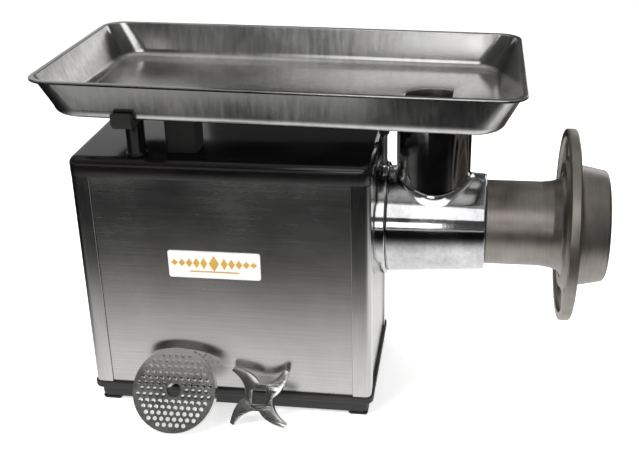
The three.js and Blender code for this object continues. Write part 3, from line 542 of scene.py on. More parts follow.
def screw_tree():
    """Pan head screws with a slot, at the corners and mid sides of a rectangle in the XZ plane."""
    tree = Tree("Panel screws")
    length, height = tree.input("Length"), tree.input("Height")
    radius, rise = tree.input("Head radius"), tree.input("Head height")
    grid = tree.node("GeometryNodeMeshGrid", {"Size X": length, "Size Y": height, "Vertices X": 3, "Vertices Y": 2})
    head = tree.node(
        "GeometryNodeMeshCone",
        {
            "Vertices": 24,
            "Radius Top": tree.math("MULTIPLY", radius, 0.72),
            "Radius Bottom": radius,
            "Depth": rise,
        },
    )
    slot_size = tree.node(
        "ShaderNodeCombineXYZ",
        {"X": tree.math("MULTIPLY", radius, 2.2), "Y": tree.math("MULTIPLY", radius, 0.26), "Z": rise},
    )
    slot = tree.node("GeometryNodeMeshCube", {"Size": slot_size.outputs["Vector"]})
    lift = tree.node("ShaderNodeCombineXYZ", {"Z": tree.math("MULTIPLY", rise, 1.05)})
    lifted = tree.node(
        "GeometryNodeTransform", {"Geometry": slot.outputs["Mesh"], "Translation": lift.outputs["Vector"]}
    )
    slotted = tree.node(
        "GeometryNodeMeshBoolean",
        {0: head.outputs["Mesh"], 1: lifted.outputs["Geometry"]},
        operation="DIFFERENCE",
        solver="EXACT",
    )
    index = tree.node("GeometryNodeInputIndex").outputs["Index"]
    spin = tree.node("ShaderNodeCombineXYZ", {"Z": tree.math("MULTIPLY", index, 0.83)})
    turn = tree.node("FunctionNodeEulerToRotation", {"Euler": spin.outputs["Vector"]})
    screws = tree.node(
        "GeometryNodeInstanceOnPoints",
        {
            "Points": grid.outputs["Mesh"],
            "Instance": slotted.outputs["Mesh"],
            "Rotation": turn.outputs["Rotation"],
        },
    )
    tree.finish(screws.outputs["Instances"])
    return tree


def vent_tree():
    """Raised rims round a row of long slots, in the XY plane."""
    tree = Tree("Vent rims")
    length, height = tree.input("Slot length"), tree.input("Slot height")
    pitch, count, thickness = tree.input("Pitch"), tree.input("Slots", "NodeSocketInt"), tree.input("Rim radius")
    step = tree.node("ShaderNodeCombineXYZ", {"Y": pitch})
    line = tree.node("GeometryNodeMeshLine", {"Count": count, "Offset": step.outputs["Vector"]})
    slot = tree.node("GeometryNodeCurvePrimitiveQuadrilateral", {"Width": length, "Height": height})
    filleted = tree.node(
        "GeometryNodeFilletCurve",
        {"Curve": slot.outputs["Curve"], "Radius": tree.math("MULTIPLY", height, 0.45), "Count": 4},
        mode="POLY",
    )
    profile = tree.node("GeometryNodeCurvePrimitiveCircle", {"Resolution": 10, "Radius": thickness})
    rim = tree.node(
        "GeometryNodeCurveToMesh", {"Curve": filleted.outputs["Curve"], "Profile Curve": profile.outputs["Curve"]}
    )
    rims = tree.node("GeometryNodeInstanceOnPoints", {"Points": line.outputs["Mesh"], "Instance": rim.outputs["Mesh"]})
    tree.finish(rims.outputs["Instances"])
    return tree


# ---------------------------------------------------------------- settings


class GRINDER_PG_cutters(bpy.types.PropertyGroup):
    """Sizes of the cutting plates."""

    hole_radius: bpy.props.FloatProperty(
        name="Hole radius", description="Radius of the plate's holes", default=0.0025, unit="LENGTH", subtype="DISTANCE"
    )
    hole_pitch: bpy.props.FloatProperty(
        name="Hole pitch", description="Distance between holes", default=0.0078, unit="LENGTH", subtype="DISTANCE"
    )
    rim: bpy.props.FloatProperty(
        name="Plain rim", description="Width left without holes at the edge", default=0.006, unit="LENGTH",
        subtype="DISTANCE",
    )


class GRINDER_PG_tray(bpy.types.PropertyGroup):
    """Sizes of the feed tray."""

    sheet: bpy.props.FloatProperty(
        name="Sheet", description="Thickness of the tray's sheet", default=0.0015, unit="LENGTH", subtype="DISTANCE"
    )
    bow: bpy.props.FloatProperty(
        name="Bow", description="How far the long rims bow outwards", default=0.0016, unit="LENGTH", subtype="DISTANCE"
    )


class GRINDER_PG_stage(bpy.types.PropertyGroup):
    """The studio."""

    floor_colour: bpy.props.FloatVectorProperty(
        name="Floor", description="Colour of the floor", default=(0.93, 0.93, 0.92), subtype="COLOR", size=3
    )
    key_power: bpy.props.FloatProperty(
        name="Key light", description="Power of the main soft light", default=34.0, unit="POWER"
    )


# ---------------------------------------------------------------- operators


class GRINDER_OT_housing(bpy.types.Operator):
    """Make the cap, the corner posts, the base and the feet"""

    bl_idname = "grinder.housing"
    bl_label = "Housing"

    def execute(self, context):
        box = ((0, 0), (LENGTH, DEPTH))
        edge, shoulder, rounds = 9.0, 312.0, 8
        levels = [(298.0, -CAP_OVERHANG + 0.8, 10.2), (298.8, -CAP_OVERHANG, 11.0), (shoulder, -CAP_OVERHANG, 11.0)]
        for step in range(1, rounds + 1):
            angle = math.radians(90 * step / rounds)
            inset = edge * (1 - math.cos(angle))
            levels.append((shoulder + edge * math.sin(angle), inset - CAP_OVERHANG, 11.0 - 0.5 * inset))
        cap = make_piece("cap_moulding", stacked(levels, *box, steps=10), "gloss_black", 50.0)
        mount(cap, "housing", "gloss_black", "top_cap")

        base_levels = [
            (4.0, 6.0, 5.0), (5.0, 5.0, 5.5), (17.5, 4.0, 6.0), (18.6, 2.9, 7.0), (20.2, -1.4, 9.4), (21.2, -2.0, 10.0),
            (27.2, -2.0, 10.0), (28.0, -1.2, 9.4),
        ]
        base = make_piece("base_moulding", stacked(base_levels, *box, steps=8), "matt_black", 28.0)
        mount(base, "housing", "matt_black", "base_tray")

        size, inset = 24.0, 4.5
        for side, x in (("left", inset), ("right", LENGTH - inset - size)):
            for end, y in (("front", inset), ("rear", DEPTH - inset - size)):
                foot_levels = [(0.0, 1.6, 2.4), (0.6, 0.9, 3.0), (3.7, 0.0, 3.6)]
                foot = make_piece(
                    f"foot_pad_{end}_{side}", stacked(foot_levels, (x, y), (x + size, y + size)), "black_rubber"
                )
                mount(foot, "housing", "black_rubber", f"foot_{end}_{side}")
        self.make_posts()
        return {"FINISHED"}

    def make_posts(self):
        size, radius, bottom, top = 22.0, 9.0, 28.3, 297.7
        for side, x, in_x in (("left", 0.0, 1), ("right", LENGTH, -1)):
            for end, y, in_y in (("front", 0.0, 1), ("rear", DEPTH, -1)):
                corners = [
                    (x, y), (x + in_x * size, y), (x + in_x * size, y + in_y * size), (x, y + in_y * size),
                ]
                outline = rounded(corners, [radius, 0.7, 0.7, 0.7], 8)
                name = f"{end}_{side}"
                post = make_piece(f"post_{name}", prism(outline, "z", bottom, top), "post_steel", 24.0)
                mount(post, "housing", "panel_steel", f"corner_post_{name}")


class GRINDER_OT_panels(bpy.types.Operator):
    """Finish the panels, and make the screws and the vent rims on the hidden sides"""

    bl_idname = "grinder.panels"
    bl_label = "Panels"

    def execute(self, context):
        refinish("panel_steel", "front_panel", "rear_panel", "left_panel", "right_panel")
        screws = grown(
            "rear_screws",
            screw_tree(),
            {
                "Length": 0.276, "Height": 0.252, "Head radius": 0.0032, "Head height": 0.0016,
                "Finish": FINISHES["polished_steel"],
            },
        )
        rear = DEPTH - 2.0
        upright = Matrix.Rotation(-math.pi / 2, 4, "X")
        place = Matrix.Translation(to_frame((LENGTH / 2, rear + 0.8, 163.0))) @ upright
        screws.transform(place)
        smooth(screws, 30)
        mount(new_piece("rear_screws", screws), "housing", "polished_steel")

        rims = grown(
            "vent_rims",
            vent_tree(),
            {
                "Slot length": 0.0715, "Slot height": 0.0062, "Pitch": 0.012, "Slots": 6, "Rim radius": 0.0011,
                "Finish": FINISHES["panel_steel"],
            },
        )
        place = Matrix.Translation(to_frame((118.0, rear + 0.1, 70.0))) @ Matrix.Rotation(math.pi / 2, 4, "X")
        rims.transform(place)
        smooth(rims, 50)
        mount(new_piece("vent_rims", rims), "housing", "panel_steel")
        return {"FINISHED"}


class GRINDER_OT_label(bpy.types.Operator):
    """Make the white plate and its plain gold ornament"""

    bl_idname = "grinder.label"
    bl_label = "Label plate"

    def execute(self, context):
        low, high = (106.0, 177.0), (214.0, 211.0)
        plate_shape = prism(box_outline(low, high, 3.0), "y", 0.9, PANEL_INSET)
        plate = make_piece("label_enamel", plate_shape, "label_white", bevel=0.25)
        mount(plate, "housing", "label_white", "label_plate")
        middle_x, middle_z = (low[0] + high[0]) / 2, (low[1] + high[1]) / 2 + 2
        front, back = 0.55, 0.95
        shapes = []

        def lozenge(x, z, half_x, half_z):
            outline = [(x - half_x, z), (x, z - half_z), (x + half_x, z), (x, z + half_z)]
            shapes.append(prism(outline, "y", front, back))

        lozenge(middle_x, middle_z, 6.0, 10.0)
        for side in (-1, 1):
            for step in range(5):
                lozenge(middle_x + side * (12.0 + 8.6 * step), middle_z, 3.9, 7.4 - 0.9 * step)
        bar = [
            (middle_x - 30, middle_z - 11.2), (middle_x + 30, middle_z - 11.2),
            (middle_x + 28, middle_z - 9.8), (middle_x - 28, middle_z - 9.8),
        ]
        shapes.append(prism(bar, "y", front, back))
        ornament = make_piece("label_ornament", joined(*shapes), "label_gold", bevel=0.15)
        mount(ornament, "housing", "label_white")
        return {"FINISHED"}


class GRINDER_OT_controls(bpy.types.Operator):
    """Make the switch plate, the two buttons and the cable gland"""

    bl_idname = "grinder.controls"
    bl_label = "Controls"

    def execute(self, context):
        y, z, face, apart = MIDDLE, 200.0, PANEL_INSET, 18
        outline = box_outline((y - 30, z - 45), (y + 30, z + 45), 8.0)
        plate = make_piece("switch_bezel", prism(outline, "x", face - 3.2, face), "matt_black", bevel=0.9)
        hole = [(0, -8), (11.6, -8), (11.6, 4), (0, 4)]
        holes = [lathe(hole, "x", (y, z + s * apart), 48, False) for s in (1, -1)]
        bpy.context.view_layer.update()
        plate.data = evaluated(plate)
        plate.modifiers.clear()
        carved(plate, *holes)
        mount(plate, "housing", "matt_black", "switch_plate")
        collars = [
            lathe(rounded([(11.7, -1.2), (11.7, -4.2), (14.4, -4.2), (15.2, -1.2)], 0.5), "x", (y, z + s * apart), 64)
            for s in (1, -1)
        ]
        mount(make_piece("button_collars", joined(*collars), "polished_steel"), "housing", "polished_steel")

        for name, side, slot in (("start", 1, "green_plastic"), ("stop", -1, "red_plastic")):
            profile = rounded(
                [(0, -7.2), (8.0, -7.4), (9.4, -8.0), (11, -7.4), (11, -1.6), (8, -1.6), (8, 9), (0, 9)],
                [0, 0, 0.6, 0.8, 0.2, 0, 0.3, 0], 4, False,
            )
            button = make_piece(f"{name}_cap", lathe(profile, "x", (y, z + side * apart), 64, False), slot)
            mount(button, name, slot, f"{name}_button")

        gland_y, gland_z = 150.0, 62.0
        nut = [
            (gland_y + 12 * math.cos(TURN * i / 6), gland_z + 12 * math.sin(TURN * i / 6)) for i in range(6)
        ]
        dome = rounded(
            [(4.5, 10), (4.5, -16), (6.4, -16), (9.4, -12.5), (10, -6), (10, -5.5), (8, -5.5), (8, 10)],
            [0, 0.6, 1, 2, 0.5, 0, 0, 0], 4,
        )
        gland = joined(prism(nut, "x", -6.0, PANEL_INSET), lathe(dome, "x", (gland_y, gland_z), 48))
        piece = make_piece("gland_body", gland, "matt_black", bevel=0.4, segments=2)
        mount(piece, "housing", "matt_black", "cable_gland")
        return {"FINISHED"}


class GRINDER_OT_tray(bpy.types.Operator):
    """Make the pressed feed tray with its turned lip and its spigot"""

    bl_idname = "grinder.tray"
    bl_label = "Feed tray"

    def ring(self, station, steps, sides, bow):
        """One ring of the tray: half length, half depth, heights on its ends and sides, and corner radius."""
        half_x, half_y, end_z, side_z, radius = station
        ring = []
        for east, north in ((1, -1), (1, 1), (-1, 1), (-1, -1)):
            start = {(1, -1): -90, (1, 1): 0, (-1, 1): 90, (-1, -1): 180}[(east, north)]
            for step in range(steps + 1):
                angle = math.radians(start + 90 * step / steps)
                share = abs(math.sin(angle))
                x = east * (half_x - radius) + radius * math.cos(angle)
                y = north * (half_y - radius) + radius * math.sin(angle)
                ring.append((x, y, end_z * (1 - share) + side_z * share))
            if east == north:
                first, end_x = ring[-1], -east * (half_x - radius)
                for side in range(1, sides):
                    t = side / sides
                    x = first[0] + (end_x - first[0]) * t
                    ring.append((x, first[1] + north * bow * math.sin(math.pi * t), side_z))
        return ring

    def execute(self, context):
        settings = context.scene.grinder_tray
        sheet, bow = settings.sheet * 1000, settings.bow * 1000
        floor, top, bend_end, tray_middle = sheet, 43.0, 11, 238.0
        ends = rounded(
            [(215, floor), (237.4, floor), (255.4, top), (261.3, top), (261.3, 40.2)], [0, 13, 1.8, 1.6, 0], 8, False
        )
        sides = rounded(
            [(105, floor), (126.8, floor), (132.5, top), (138.5, top), (138.5, 40.2)], [0, 12, 1.8, 1.6, 0], 8, False
        )

        def offset(line):
            """The line moved by the sheet's thickness to its under side."""
            moved = []
            for i, point in enumerate(line):
                before, after = Vector(line[max(i - 1, 0)]), Vector(line[min(i + 1, len(line) - 1)])
                along = (after - before).normalized()
                moved.append((point[0] + along.y * sheet, point[1] - along.x * sheet))
            return moved

        def corner(height, reach):
            if height < bend_end:
                return 26 + 7 * max(0.0, height - floor) / (bend_end - floor)
            return 33 - 11 * (height - bend_end) / (top - bend_end) + max(0.0, reach - 255.4) * 0.7

        def rings(end_line, side_line, base_ends, grow):
            made = []
            for (end_x, end_z), (side_y, side_z), (base_x, base_z) in zip(end_line, side_line, base_ends):
                radius = corner(base_z, base_x) + (grow if base_z > floor + 1 else 0)
                share = max(0.0, min(1.0, (base_z - floor) / (top - floor)))
                made.append(self.ring((end_x, side_y, end_z, side_z, radius), 8, 24, bow * share))
            return made

        upper = rings(ends, sides, ends, 0.0)
        lower = rings(offset(ends), offset(sides), ends, sheet * 0.8)
        shift = tray_middle - THROAT_X
        upper, lower = [[[(x + shift, y, z) for x, y, z in ring] for ring in half] for half in (upper, lower)]

        def circle(radius, height):
            angles = [math.atan2(y, x) for x, y, _ in upper[0]]
            return [(radius * math.cos(a), radius * math.sin(a), height) for a in angles]

        inner = [circle(35.2, -25.0), circle(35.2, -1.0), circle(35.5, 0.6), circle(36.4, 1.3), circle(38.0, floor)]
        outer = [circle(38.3, 0.0), circle(37.2, -0.3), circle(36.7, -1.2), circle(36.6, -25.0)]
        points, faces = loft(inner + upper + lower[::-1] + outer, closed=True)
        cos, sin = math.cos(TRAY_PITCH), math.sin(TRAY_PITCH)
        pitched = [(THROAT_X + x * cos + z * sin, MIDDLE + y, TRAY_UNDER - x * sin + z * cos) for x, y, z in points]
        tray = make_piece("tray_pressing", (pitched, faces), "tray_steel", 40.0)
        mount(tray, "tray", "tray_steel", "feed_tray")
        return {"FINISHED"}


def tray_under(x):
    """The height of the pitched tray's under side at x."""
    return TRAY_UNDER + (THROAT_X - x) * math.tan(TRAY_PITCH)


class GRINDER_OT_support(bpy.types.Operator):
    """Make the tray's post, hook and rest block"""

    bl_idname = "grinder.support"
    bl_label = "Tray support"

    def execute(self, context):
        x, y, floor, radius = 77.0, 16.0, 321.3, 10.5
        arm_top = tray_under(93.0) - 0.4
        arm_bottom = arm_top - 6.5
        top = arm_bottom - 0.3
        foot = radius + 1.5
        profile = rounded(
            [(0, floor), (foot, floor), (foot, floor + 2.5), (radius, floor + 4), (radius, top), (0, top)],
            [0, 0.8, 1.0, 1.5, 0.8, 0], 4, False,
        )
        mount(
            make_piece("support_post", lathe(profile, "z", (x, y), 64, False), "gloss_black"),
            "housing", "matt_black", "tray_post",
        )
        outline = [
            (y + 12, arm_bottom), (y + 12, arm_top), (-22, arm_top), (-29, arm_top + 2), (-33.5, arm_top + 9),
            (-34.5, arm_top + 11), (-40.5, arm_top + 11), (-42, arm_top + 1), (-36, arm_bottom),
        ]
        radii = [1.5, 1.0, 3.0, 5.0, 3.0, 1.2, 2.5, 4.0, 4.0]
        hook = make_piece(
            "support_hook", prism(rounded(outline, radii, 4), "x", 71.0, 93.0), "black_rubber", bevel=1.6, segments=4
        )
        mount(hook, "housing", "black_rubber", "tray_hook")
        rest_top = tray_under(143.0) - 0.3
        levels = [(floor, -0.6, 5.6), (floor + 1.5, 0.0, 5.0), (rest_top - 2, 0.0, 5.0), (rest_top, 1.8, 3.4)]
        rest = make_piece("support_rest", stacked(levels, (107.0, 24.0), (143.0, 60.0)), "black_rubber")
        mount(rest, "housing", "black_rubber", "tray_rest_block")
        return {"FINISHED"}


class GRINDER_OT_neck(bpy.types.Operator):
    """Make the neck collar, the lock screw and its knob"""

    bl_idname = "grinder.neck"
    bl_label = "Neck and lock"

    def execute(self, context):
        ring = lathe(
            rounded([(50, 330.3), (67, 330.3), (67, 352), (50, 352)], [0.5, 1.0, 2.2, 0.8], 5), "x", HEAD, 144
        )
        lock_x = 345.8
        profile = [(4.5, 274.0), (8.6, 284.5), (7.0, 286.2), (6.1, 288.0), (5.9, 290.5), (5.0, 292.0), (4.5, 292.0)]
        boss = lathe(rounded(profile, 0.5, 3), "z", (lock_x, MIDDLE), 48)
        mount(make_piece("neck_ring", joined(ring, boss), "cast_aluminium"), "housing", "cast_aluminium", "neck_collar")
        stem = [(0, 270.3), (3.4, 270.3), (4.1, 272.5)]
        z = 274.0
        while z < 322:
            stem += [(4.2, z), (3.75, z + 0.75)]
            z += 1.5
        stem += [(4.2, 324.0), (4.2, 337.0), (0, 337.0)]
        screw = make_piece("lock_stem", lathe(stem, "z", (lock_x, MIDDLE), 40, False), "polished_steel")
        mount(screw, "lock", "polished_steel", "lock_screw")
        rings = []
        knob_levels = (
            (325.0, 0.42), (325.4, 0.5), (330.5, 0.56), (333.5, 0.94), (335.0, 1.0), (345.5, 1.0), (347.8, 0.94),
            (349.0, 0.78), (348.4, 0.4),
        )
        for height, share in knob_levels:
            ring = []
            for i in range(90):
                angle = TURN * i / 90
                radius = share * (11.6 + 1.4 * math.cos(5 * angle) * share**3)
                ring.append((lock_x + radius * math.cos(angle), MIDDLE + radius * math.sin(angle), height))
            rings.append(ring)
        knob = make_piece("lock_handle", loft(rings), "matt_black", 40.0)
        mount(knob, "lock", "matt_black", "lock_knob")
        return {"FINISHED"}


class GRINDER_OT_head(bpy.types.Operator):
    """Make the polished head casting with its feed throat"""

    bl_idname = "grinder.head"
    bl_label = "Head casting"

    def execute(self, context):
        start, end, rear, front = 352.3, 465.0, 63.0, 56.0
        profile = [
            (49.7, 338), (49.7, start), (rear, start), (front, end), (47.3, end), (47.3, 450), (44, 450), (44, 364),
            (24.3, 364), (24.3, 350.3), (30, 350.3), (30, 338),
        ]
        radii = [0.6, 0.6, 2.0, 3.0, 0.8, 0.3, 0.3, 1.0, 0.3, 0.3, 0.3, 0.6]
        barrel = make_piece("head_barrel", lathe(rounded(profile, radii, 6), "x", HEAD, 160), "cast_aluminium", 30.0)
        bore = 37.8
        drill = [(0, HEAD_Z), (bore, HEAD_Z), (bore, 400.0), (0, 400.0)]
        carved(barrel, lathe(drill, "z", (THROAT_X, MIDDLE), 96, False))

        outer, reach, top, sunk, nudge = 42.4, 6.5, 366.5, 0.06, 0.5

        def surface(x, y, radius_share=1.0, sink=0.0):
            """The height of the barrel's top, for a barrel shrunk by a share and by a depth."""
            radius = (rear + (front - rear) * (x - start) / (end - start)) * radius_share - sink
            return HEAD_Z + math.sqrt(max(radius * radius - (y - MIDDLE) ** 2, 1.0))

        steps, rows = 128, 9
        far = outer + reach
        columns = []
        for i in range(steps):
            angle = TURN * i / steps
            c, s = math.cos(angle), math.sin(angle)

            def put(distance, z, c=c, s=s):
                return (THROAT_X + distance * c, MIDDLE + distance * s, z)

            foot = surface(THROAT_X + far * c, MIDDLE + far * s, sink=sunk)
            near = surface(THROAT_X + (far - nudge) * c, MIDDLE + (far - nudge) * s, sink=sunk)
            slope = (near - foot) / nudge
            knee = foot + slope * reach
            wall = knee + reach
            column = [put(bore, top - 1), put(bore + 1, top), put(outer - 1, top), put(outer, top - 1)]
            for step in range(rows):
                t = step / (rows - 1)
                d = (1 - t) ** 2 * outer + 2 * t * (1 - t) * outer + t * t * far
                z = (1 - t) ** 2 * wall + 2 * t * (1 - t) * knee + t * t * foot
                column.append(put(d, z))
            under = surface(THROAT_X + outer * c, MIDDLE + outer * s, radius_share=0.9)
            column += [put(far - 1.5, foot - 3), put(outer - 1, under), put(bore, under)]
            columns.append(column)
        rings = [list(row) for row in zip(*columns)]
        throat = make_piece("head_throat", loft(rings, closed=True), "cast_aluminium", 40.0)
        mount(barrel, "head", "cast_aluminium", "head_casting")
        mount(throat, "head", "cast_aluminium", "head_casting")
        return {"FINISHED"}


class GRINDER_OT_cutter_barrel(bpy.types.Operator):
    """Make the turned grey barrel and its bell"""

    bl_idname = "grinder.cutter_barrel"
    bl_label = "Cutter barrel"

    def execute(self, context):
        profile = [
            (42.5, 450.3), (47, 450.3), (47, 465.3), (49, 465.3), (49, 528), (50.6, 540), (54, 550), (60, 553),
            (60, 577), (50.4, 577), (50.4, 556), (42.5, 556),
        ]
        radii = [0.5, 0.8, 0.2, 1.2, 18, 12, 4, 1.2, 1.0, 0.8, 0.3, 0.3]
        barrel = make_piece("barrel_casting", lathe(rounded(profile, radii, 7), "x", HEAD, 144), "grey_casting", 32.0)
        mount(barrel, "head", "grey_casting", "cutter_barrel")
        return {"FINISHED"}


class GRINDER_OT_worm(bpy.types.Operator):
    """Make the feed worm"""

    bl_idname = "grinder.worm"
    bl_label = "Feed worm"

    def execute(self, context):
        start, end, pitch, core, tip = 366.0, 552.0, 48.0, 15.2, 41.0
        per_turn, taper, thinnest = 40, 4, 0.25
        steps = round((end - start) / pitch * per_turn)
        rings = []
        for step in range(steps + 1):
            along = start + (end - start) * step / steps
            angle = (along - start) / pitch * TURN
            c, s = math.cos(angle), math.sin(angle)
            section = [
                (core - 1, -4.6), (core + 3, -2.9), (tip - 6, -2.0), (tip - 0.6, -1.6), (tip, -1.0), (tip, 1.0),
                (tip - 0.6, 1.6), (tip - 6, 2.0), (core + 3, 2.9), (core - 1, 4.6),
            ]
            shrink = min(1.0, step / taper, (steps - step) / taper) * (1 - thinnest) + thinnest
            rings.append([
                (min(max(along + w * shrink, start), end), MIDDLE + r * c, HEAD_Z + r * s) for r, w in section
            ])
        spindle = rounded(
            [(0, 348), (17, 348), (17, 364.6), (14.9, 368), (14.9, 553), (13, 556), (0, 556)],
            [0, 0.8, 0.8, 1.5, 1.0, 0.8, 0], 4, False,
        )
        half, stud = 10.7, 7.7
        tail = prism(
            box_outline((MIDDLE - half, HEAD_Z - half), (MIDDLE + half, HEAD_Z + half), 1.6), "x", 327.0, 352.0
        )
        square = prism(
            box_outline((MIDDLE - stud, HEAD_Z - stud), (MIDDLE + stud, HEAD_Z + stud), 0.8), "x", 554.0, 567.0
        )
        pin = lathe(rounded([(0, 565), (8, 565), (8, 582), (0, 582)], [0, 0, 1.2, 0], 4, False), "x", HEAD, 48, False)
        shape = joined(loft(rings), lathe(spindle, "x", HEAD, 72, False), tail, square, pin)
        mount(make_piece("worm_casting", shape, "polished_steel", 40.0), "worm", "polished_steel", "feed_worm")
        return {"FINISHED"}


def knife_mesh(name):
    """A four armed knife about the origin, facing up, in metres, with its edges ground."""
    outline = []
    arms, tip, hub = 4, 46.0, 16.0

    def at(radius, angle):
        return Vector((radius * math.cos(angle), radius * math.sin(angle)))

    for arm in range(arms):
        a = arm * TURN / arms + math.pi / 4
        curves = [
            (at(hub, a - 0.72), at(tip * 0.66, a - 0.52), at(tip, a - 0.02)),
            (at(tip - 0.6, a + 0.07), at(tip * 0.54, a - 0.04), at(hub + 0.5, a + 0.54)),
        ]
        for first, second, third in curves:
            for step in range(9):
                t = step / 8
                outline.append((1 - t) ** 2 * first + 2 * t * (1 - t) * second + t * t * third)
    curve = bpy.data.curves.new(name, "CURVE")
    curve.dimensions = "2D"
    curve.fill_mode = "BOTH"
    curve.extrude = 0.0042
    curve.bevel_depth = 0.0008
    curve.bevel_resolution = 2
    half = 8.0
    square = [Vector(p) for p in box_outline((-half, -half), (half, half), 0.6, 2)]
    for line, inset in ((outline, 0.985), (square, 1.1)):
        spline = curve.splines.new("POLY")
        spline.points.add(len(line) - 1)
        for point, corner in zip(spline.points, line):
            point.co = (corner.x * inset / 1000, corner.y * inset / 1000, 0, 1)
        spline.use_cyclic_u = True
    host = new_piece(name, curve)
    bpy.context.view_layer.update()
    mesh = evaluated(host, name)
    bpy.data.objects.remove(host)
    hub_points, hub_faces = lathe(
        rounded([(11.6, -5.0), (14.6, -5.0), (14.6, 5.0), (11.6, 5.0)], [0.4, 0.8, 0.8, 0.4], 3), "z", (0, 0), 48
    )
    ring = bpy.data.meshes.new("hub")
    ring.from_pydata([(x / 1000, y / 1000, z / 1000) for x, y, z in hub_points], [], hub_faces)
    build = bmesh.new()
    build.from_mesh(mesh)
    build.from_mesh(ring)
    bmesh.ops.remove_doubles(build, verts=build.verts, dist=1e-6)
    bmesh.ops.recalc_face_normals(build, faces=build.faces)
    build.to_mesh(mesh)
    build.free()
    mesh.materials.clear()
    mesh.materials.append(FINISHES["polished_steel"])
    smooth(mesh, 30)
    return mesh


TO_HEAD = Matrix(((0, 0, 1, 0), (1, 0, 0, 0), (0, 1, 0, 0), (0, 0, 0, 1)))


def leaning(x, lean, width, half_height):
    """The place of a flat piece that stands and leans back on the front panel."""
    rest = PANEL_INSET - width / 2 * math.cos(lean) - half_height * math.sin(lean)
    rise = width / 2 * math.sin(lean) + half_height * math.cos(lean)
    return Matrix.Translation(to_frame((x, rest, rise))) @ Matrix.Rotation(math.pi / 2 - lean, 4, "X")


class GRINDER_OT_knives(bpy.types.Operator):
    """Make the knife in the head and the spare one"""

    bl_idname = "grinder.knives"
    bl_label = "Knives"

    def execute(self, context):
        fitted = knife_mesh("knife_fitted")
        fitted.transform(Matrix.Translation(to_frame((562.0, *HEAD))) @ TO_HEAD)
        mount(new_piece("knife_fitted", fitted), "worm", "polished_steel", "cutting_knife")
        spare = knife_mesh("knife_spare")
        spare.transform(leaning(210.0, math.radians(30), width=10.0, half_height=35.7))
        mount(new_piece("knife_spare", spare), "spare_knife", "polished_steel", "spare_knife")
        return {"FINISHED"}


class GRINDER_OT_plates(bpy.types.Operator):
    """Make the perforated plate in the head and the spare one"""

    bl_idname = "grinder.plates"
    bl_label = "Cutting plates"

    def execute(self, context):
        settings = context.scene.grinder_cutters
        tree = perforated_tree()
        values = {
            "Radius": 0.05, "Width": 0.0116, "Hole radius": settings.hole_radius, "Pitch": settings.hole_pitch,
            "Centre hole radius": 0.0085, "Hub radius": 0.0135, "Rim": settings.rim,
            "Finish": FINISHES["polished_steel"],
        }
        fitted = grown("plate_fitted", tree, values)
        fitted.transform(Matrix.Translation(to_frame((573.2, *HEAD))) @ TO_HEAD)
        spare = grown("plate_spare", tree, values)
        spare.transform(leaning(111.0, math.radians(37), width=11.6, half_height=50.0))
        for mesh, body, node in ((fitted, "plate", "cutting_plate"), (spare, "spare_plate", "spare_plate")):
            smooth(mesh, 40)
            mount(new_piece(mesh.name, mesh), body, "polished_steel", node)
        return {"FINISHED"}


class GRINDER_OT_ring(bpy.types.Operator):
    """Make the ring nut with its windows"""

    bl_idname = "grinder.ring"
    bl_label = "Ring nut"

    def execute(self, context):
        profile = [
            (60.4, 552), (72, 552), (75, 556), (100, 556), (102, 552), (109.5, 552), (111, 553.5), (111, 562.5),
            (109.5, 564), (102, 564), (100, 561), (80, 561), (74, 565), (70, 570), (64, 599), (61, 601), (52, 601),
            (46, 584.4), (46, 579.4), (60.4, 579.4),
        ]
        radii = [0.5, 1.5, 2, 2, 1.5, 1, 1, 1, 1, 1.5, 2, 5, 5, 8, 3, 2, 2, 1, 0.5, 0.3]
        ring = make_piece("ring_casting", lathe(rounded(profile, radii, 4), "x", HEAD, 180), "grey_casting", 34.0)
        windows = []
        half = math.radians(20)
        for i in range(6):
            middle = math.pi / 2 + TURN * i / 6
            corners = []
            for radius, directions in ((78.0, range(0, 9)), (98.0, range(8, -1, -1))):
                for step in directions:
                    angle = middle + half * (step / 4 - 1)
                    corners.append((MIDDLE + radius * math.cos(angle), HEAD_Z + radius * math.sin(angle)))
            radii = [0.0] * len(corners)
            radii[0] = radii[8] = radii[9] = radii[17] = 5.0
            windows.append(prism(rounded(corners, radii, 4), "x", 545.0, 575.0))
        carved(ring, joined(*windows))
        mount(ring, "ring", "grey_casting", "ring_nut")
        return {"FINISHED"}


class GRINDER_OT_works(bpy.types.Operator):
    """Finish the motor, the gears and the wiring parts inside the housing"""

    bl_idname = "grinder.works"
    bl_label = "Inner works"

    def execute(self, context):
        refinish(
            "motor_paint", "motor_case", "motor_end_shield_fan", "motor_end_shield_drive", "motor_cradle",
            "gearbox_case", "gearbox_cover", "gearbox_mount",
        )
        refinish(
            "core_steel", "motor_stator", "motor_bearing_fan", "motor_bearing_drive", "motor_shaft", "rotor_core",
            "motor_pinion", "idler_gear", "idler_pinion", "output_gear", "idler_shaft", "output_shaft",
            "output_bearing_rear", "output_bearing_front",
        )
        refinish("matt_black", "cooling_fan", "switch_body")
        refinish("black_rubber", "oil_seal")
        refinish("bronze", "worm_bush")
        refinish("terminal_plastic", "terminal_block")
        refinish("label_white", "run_capacitor")
        return {"FINISHED"}


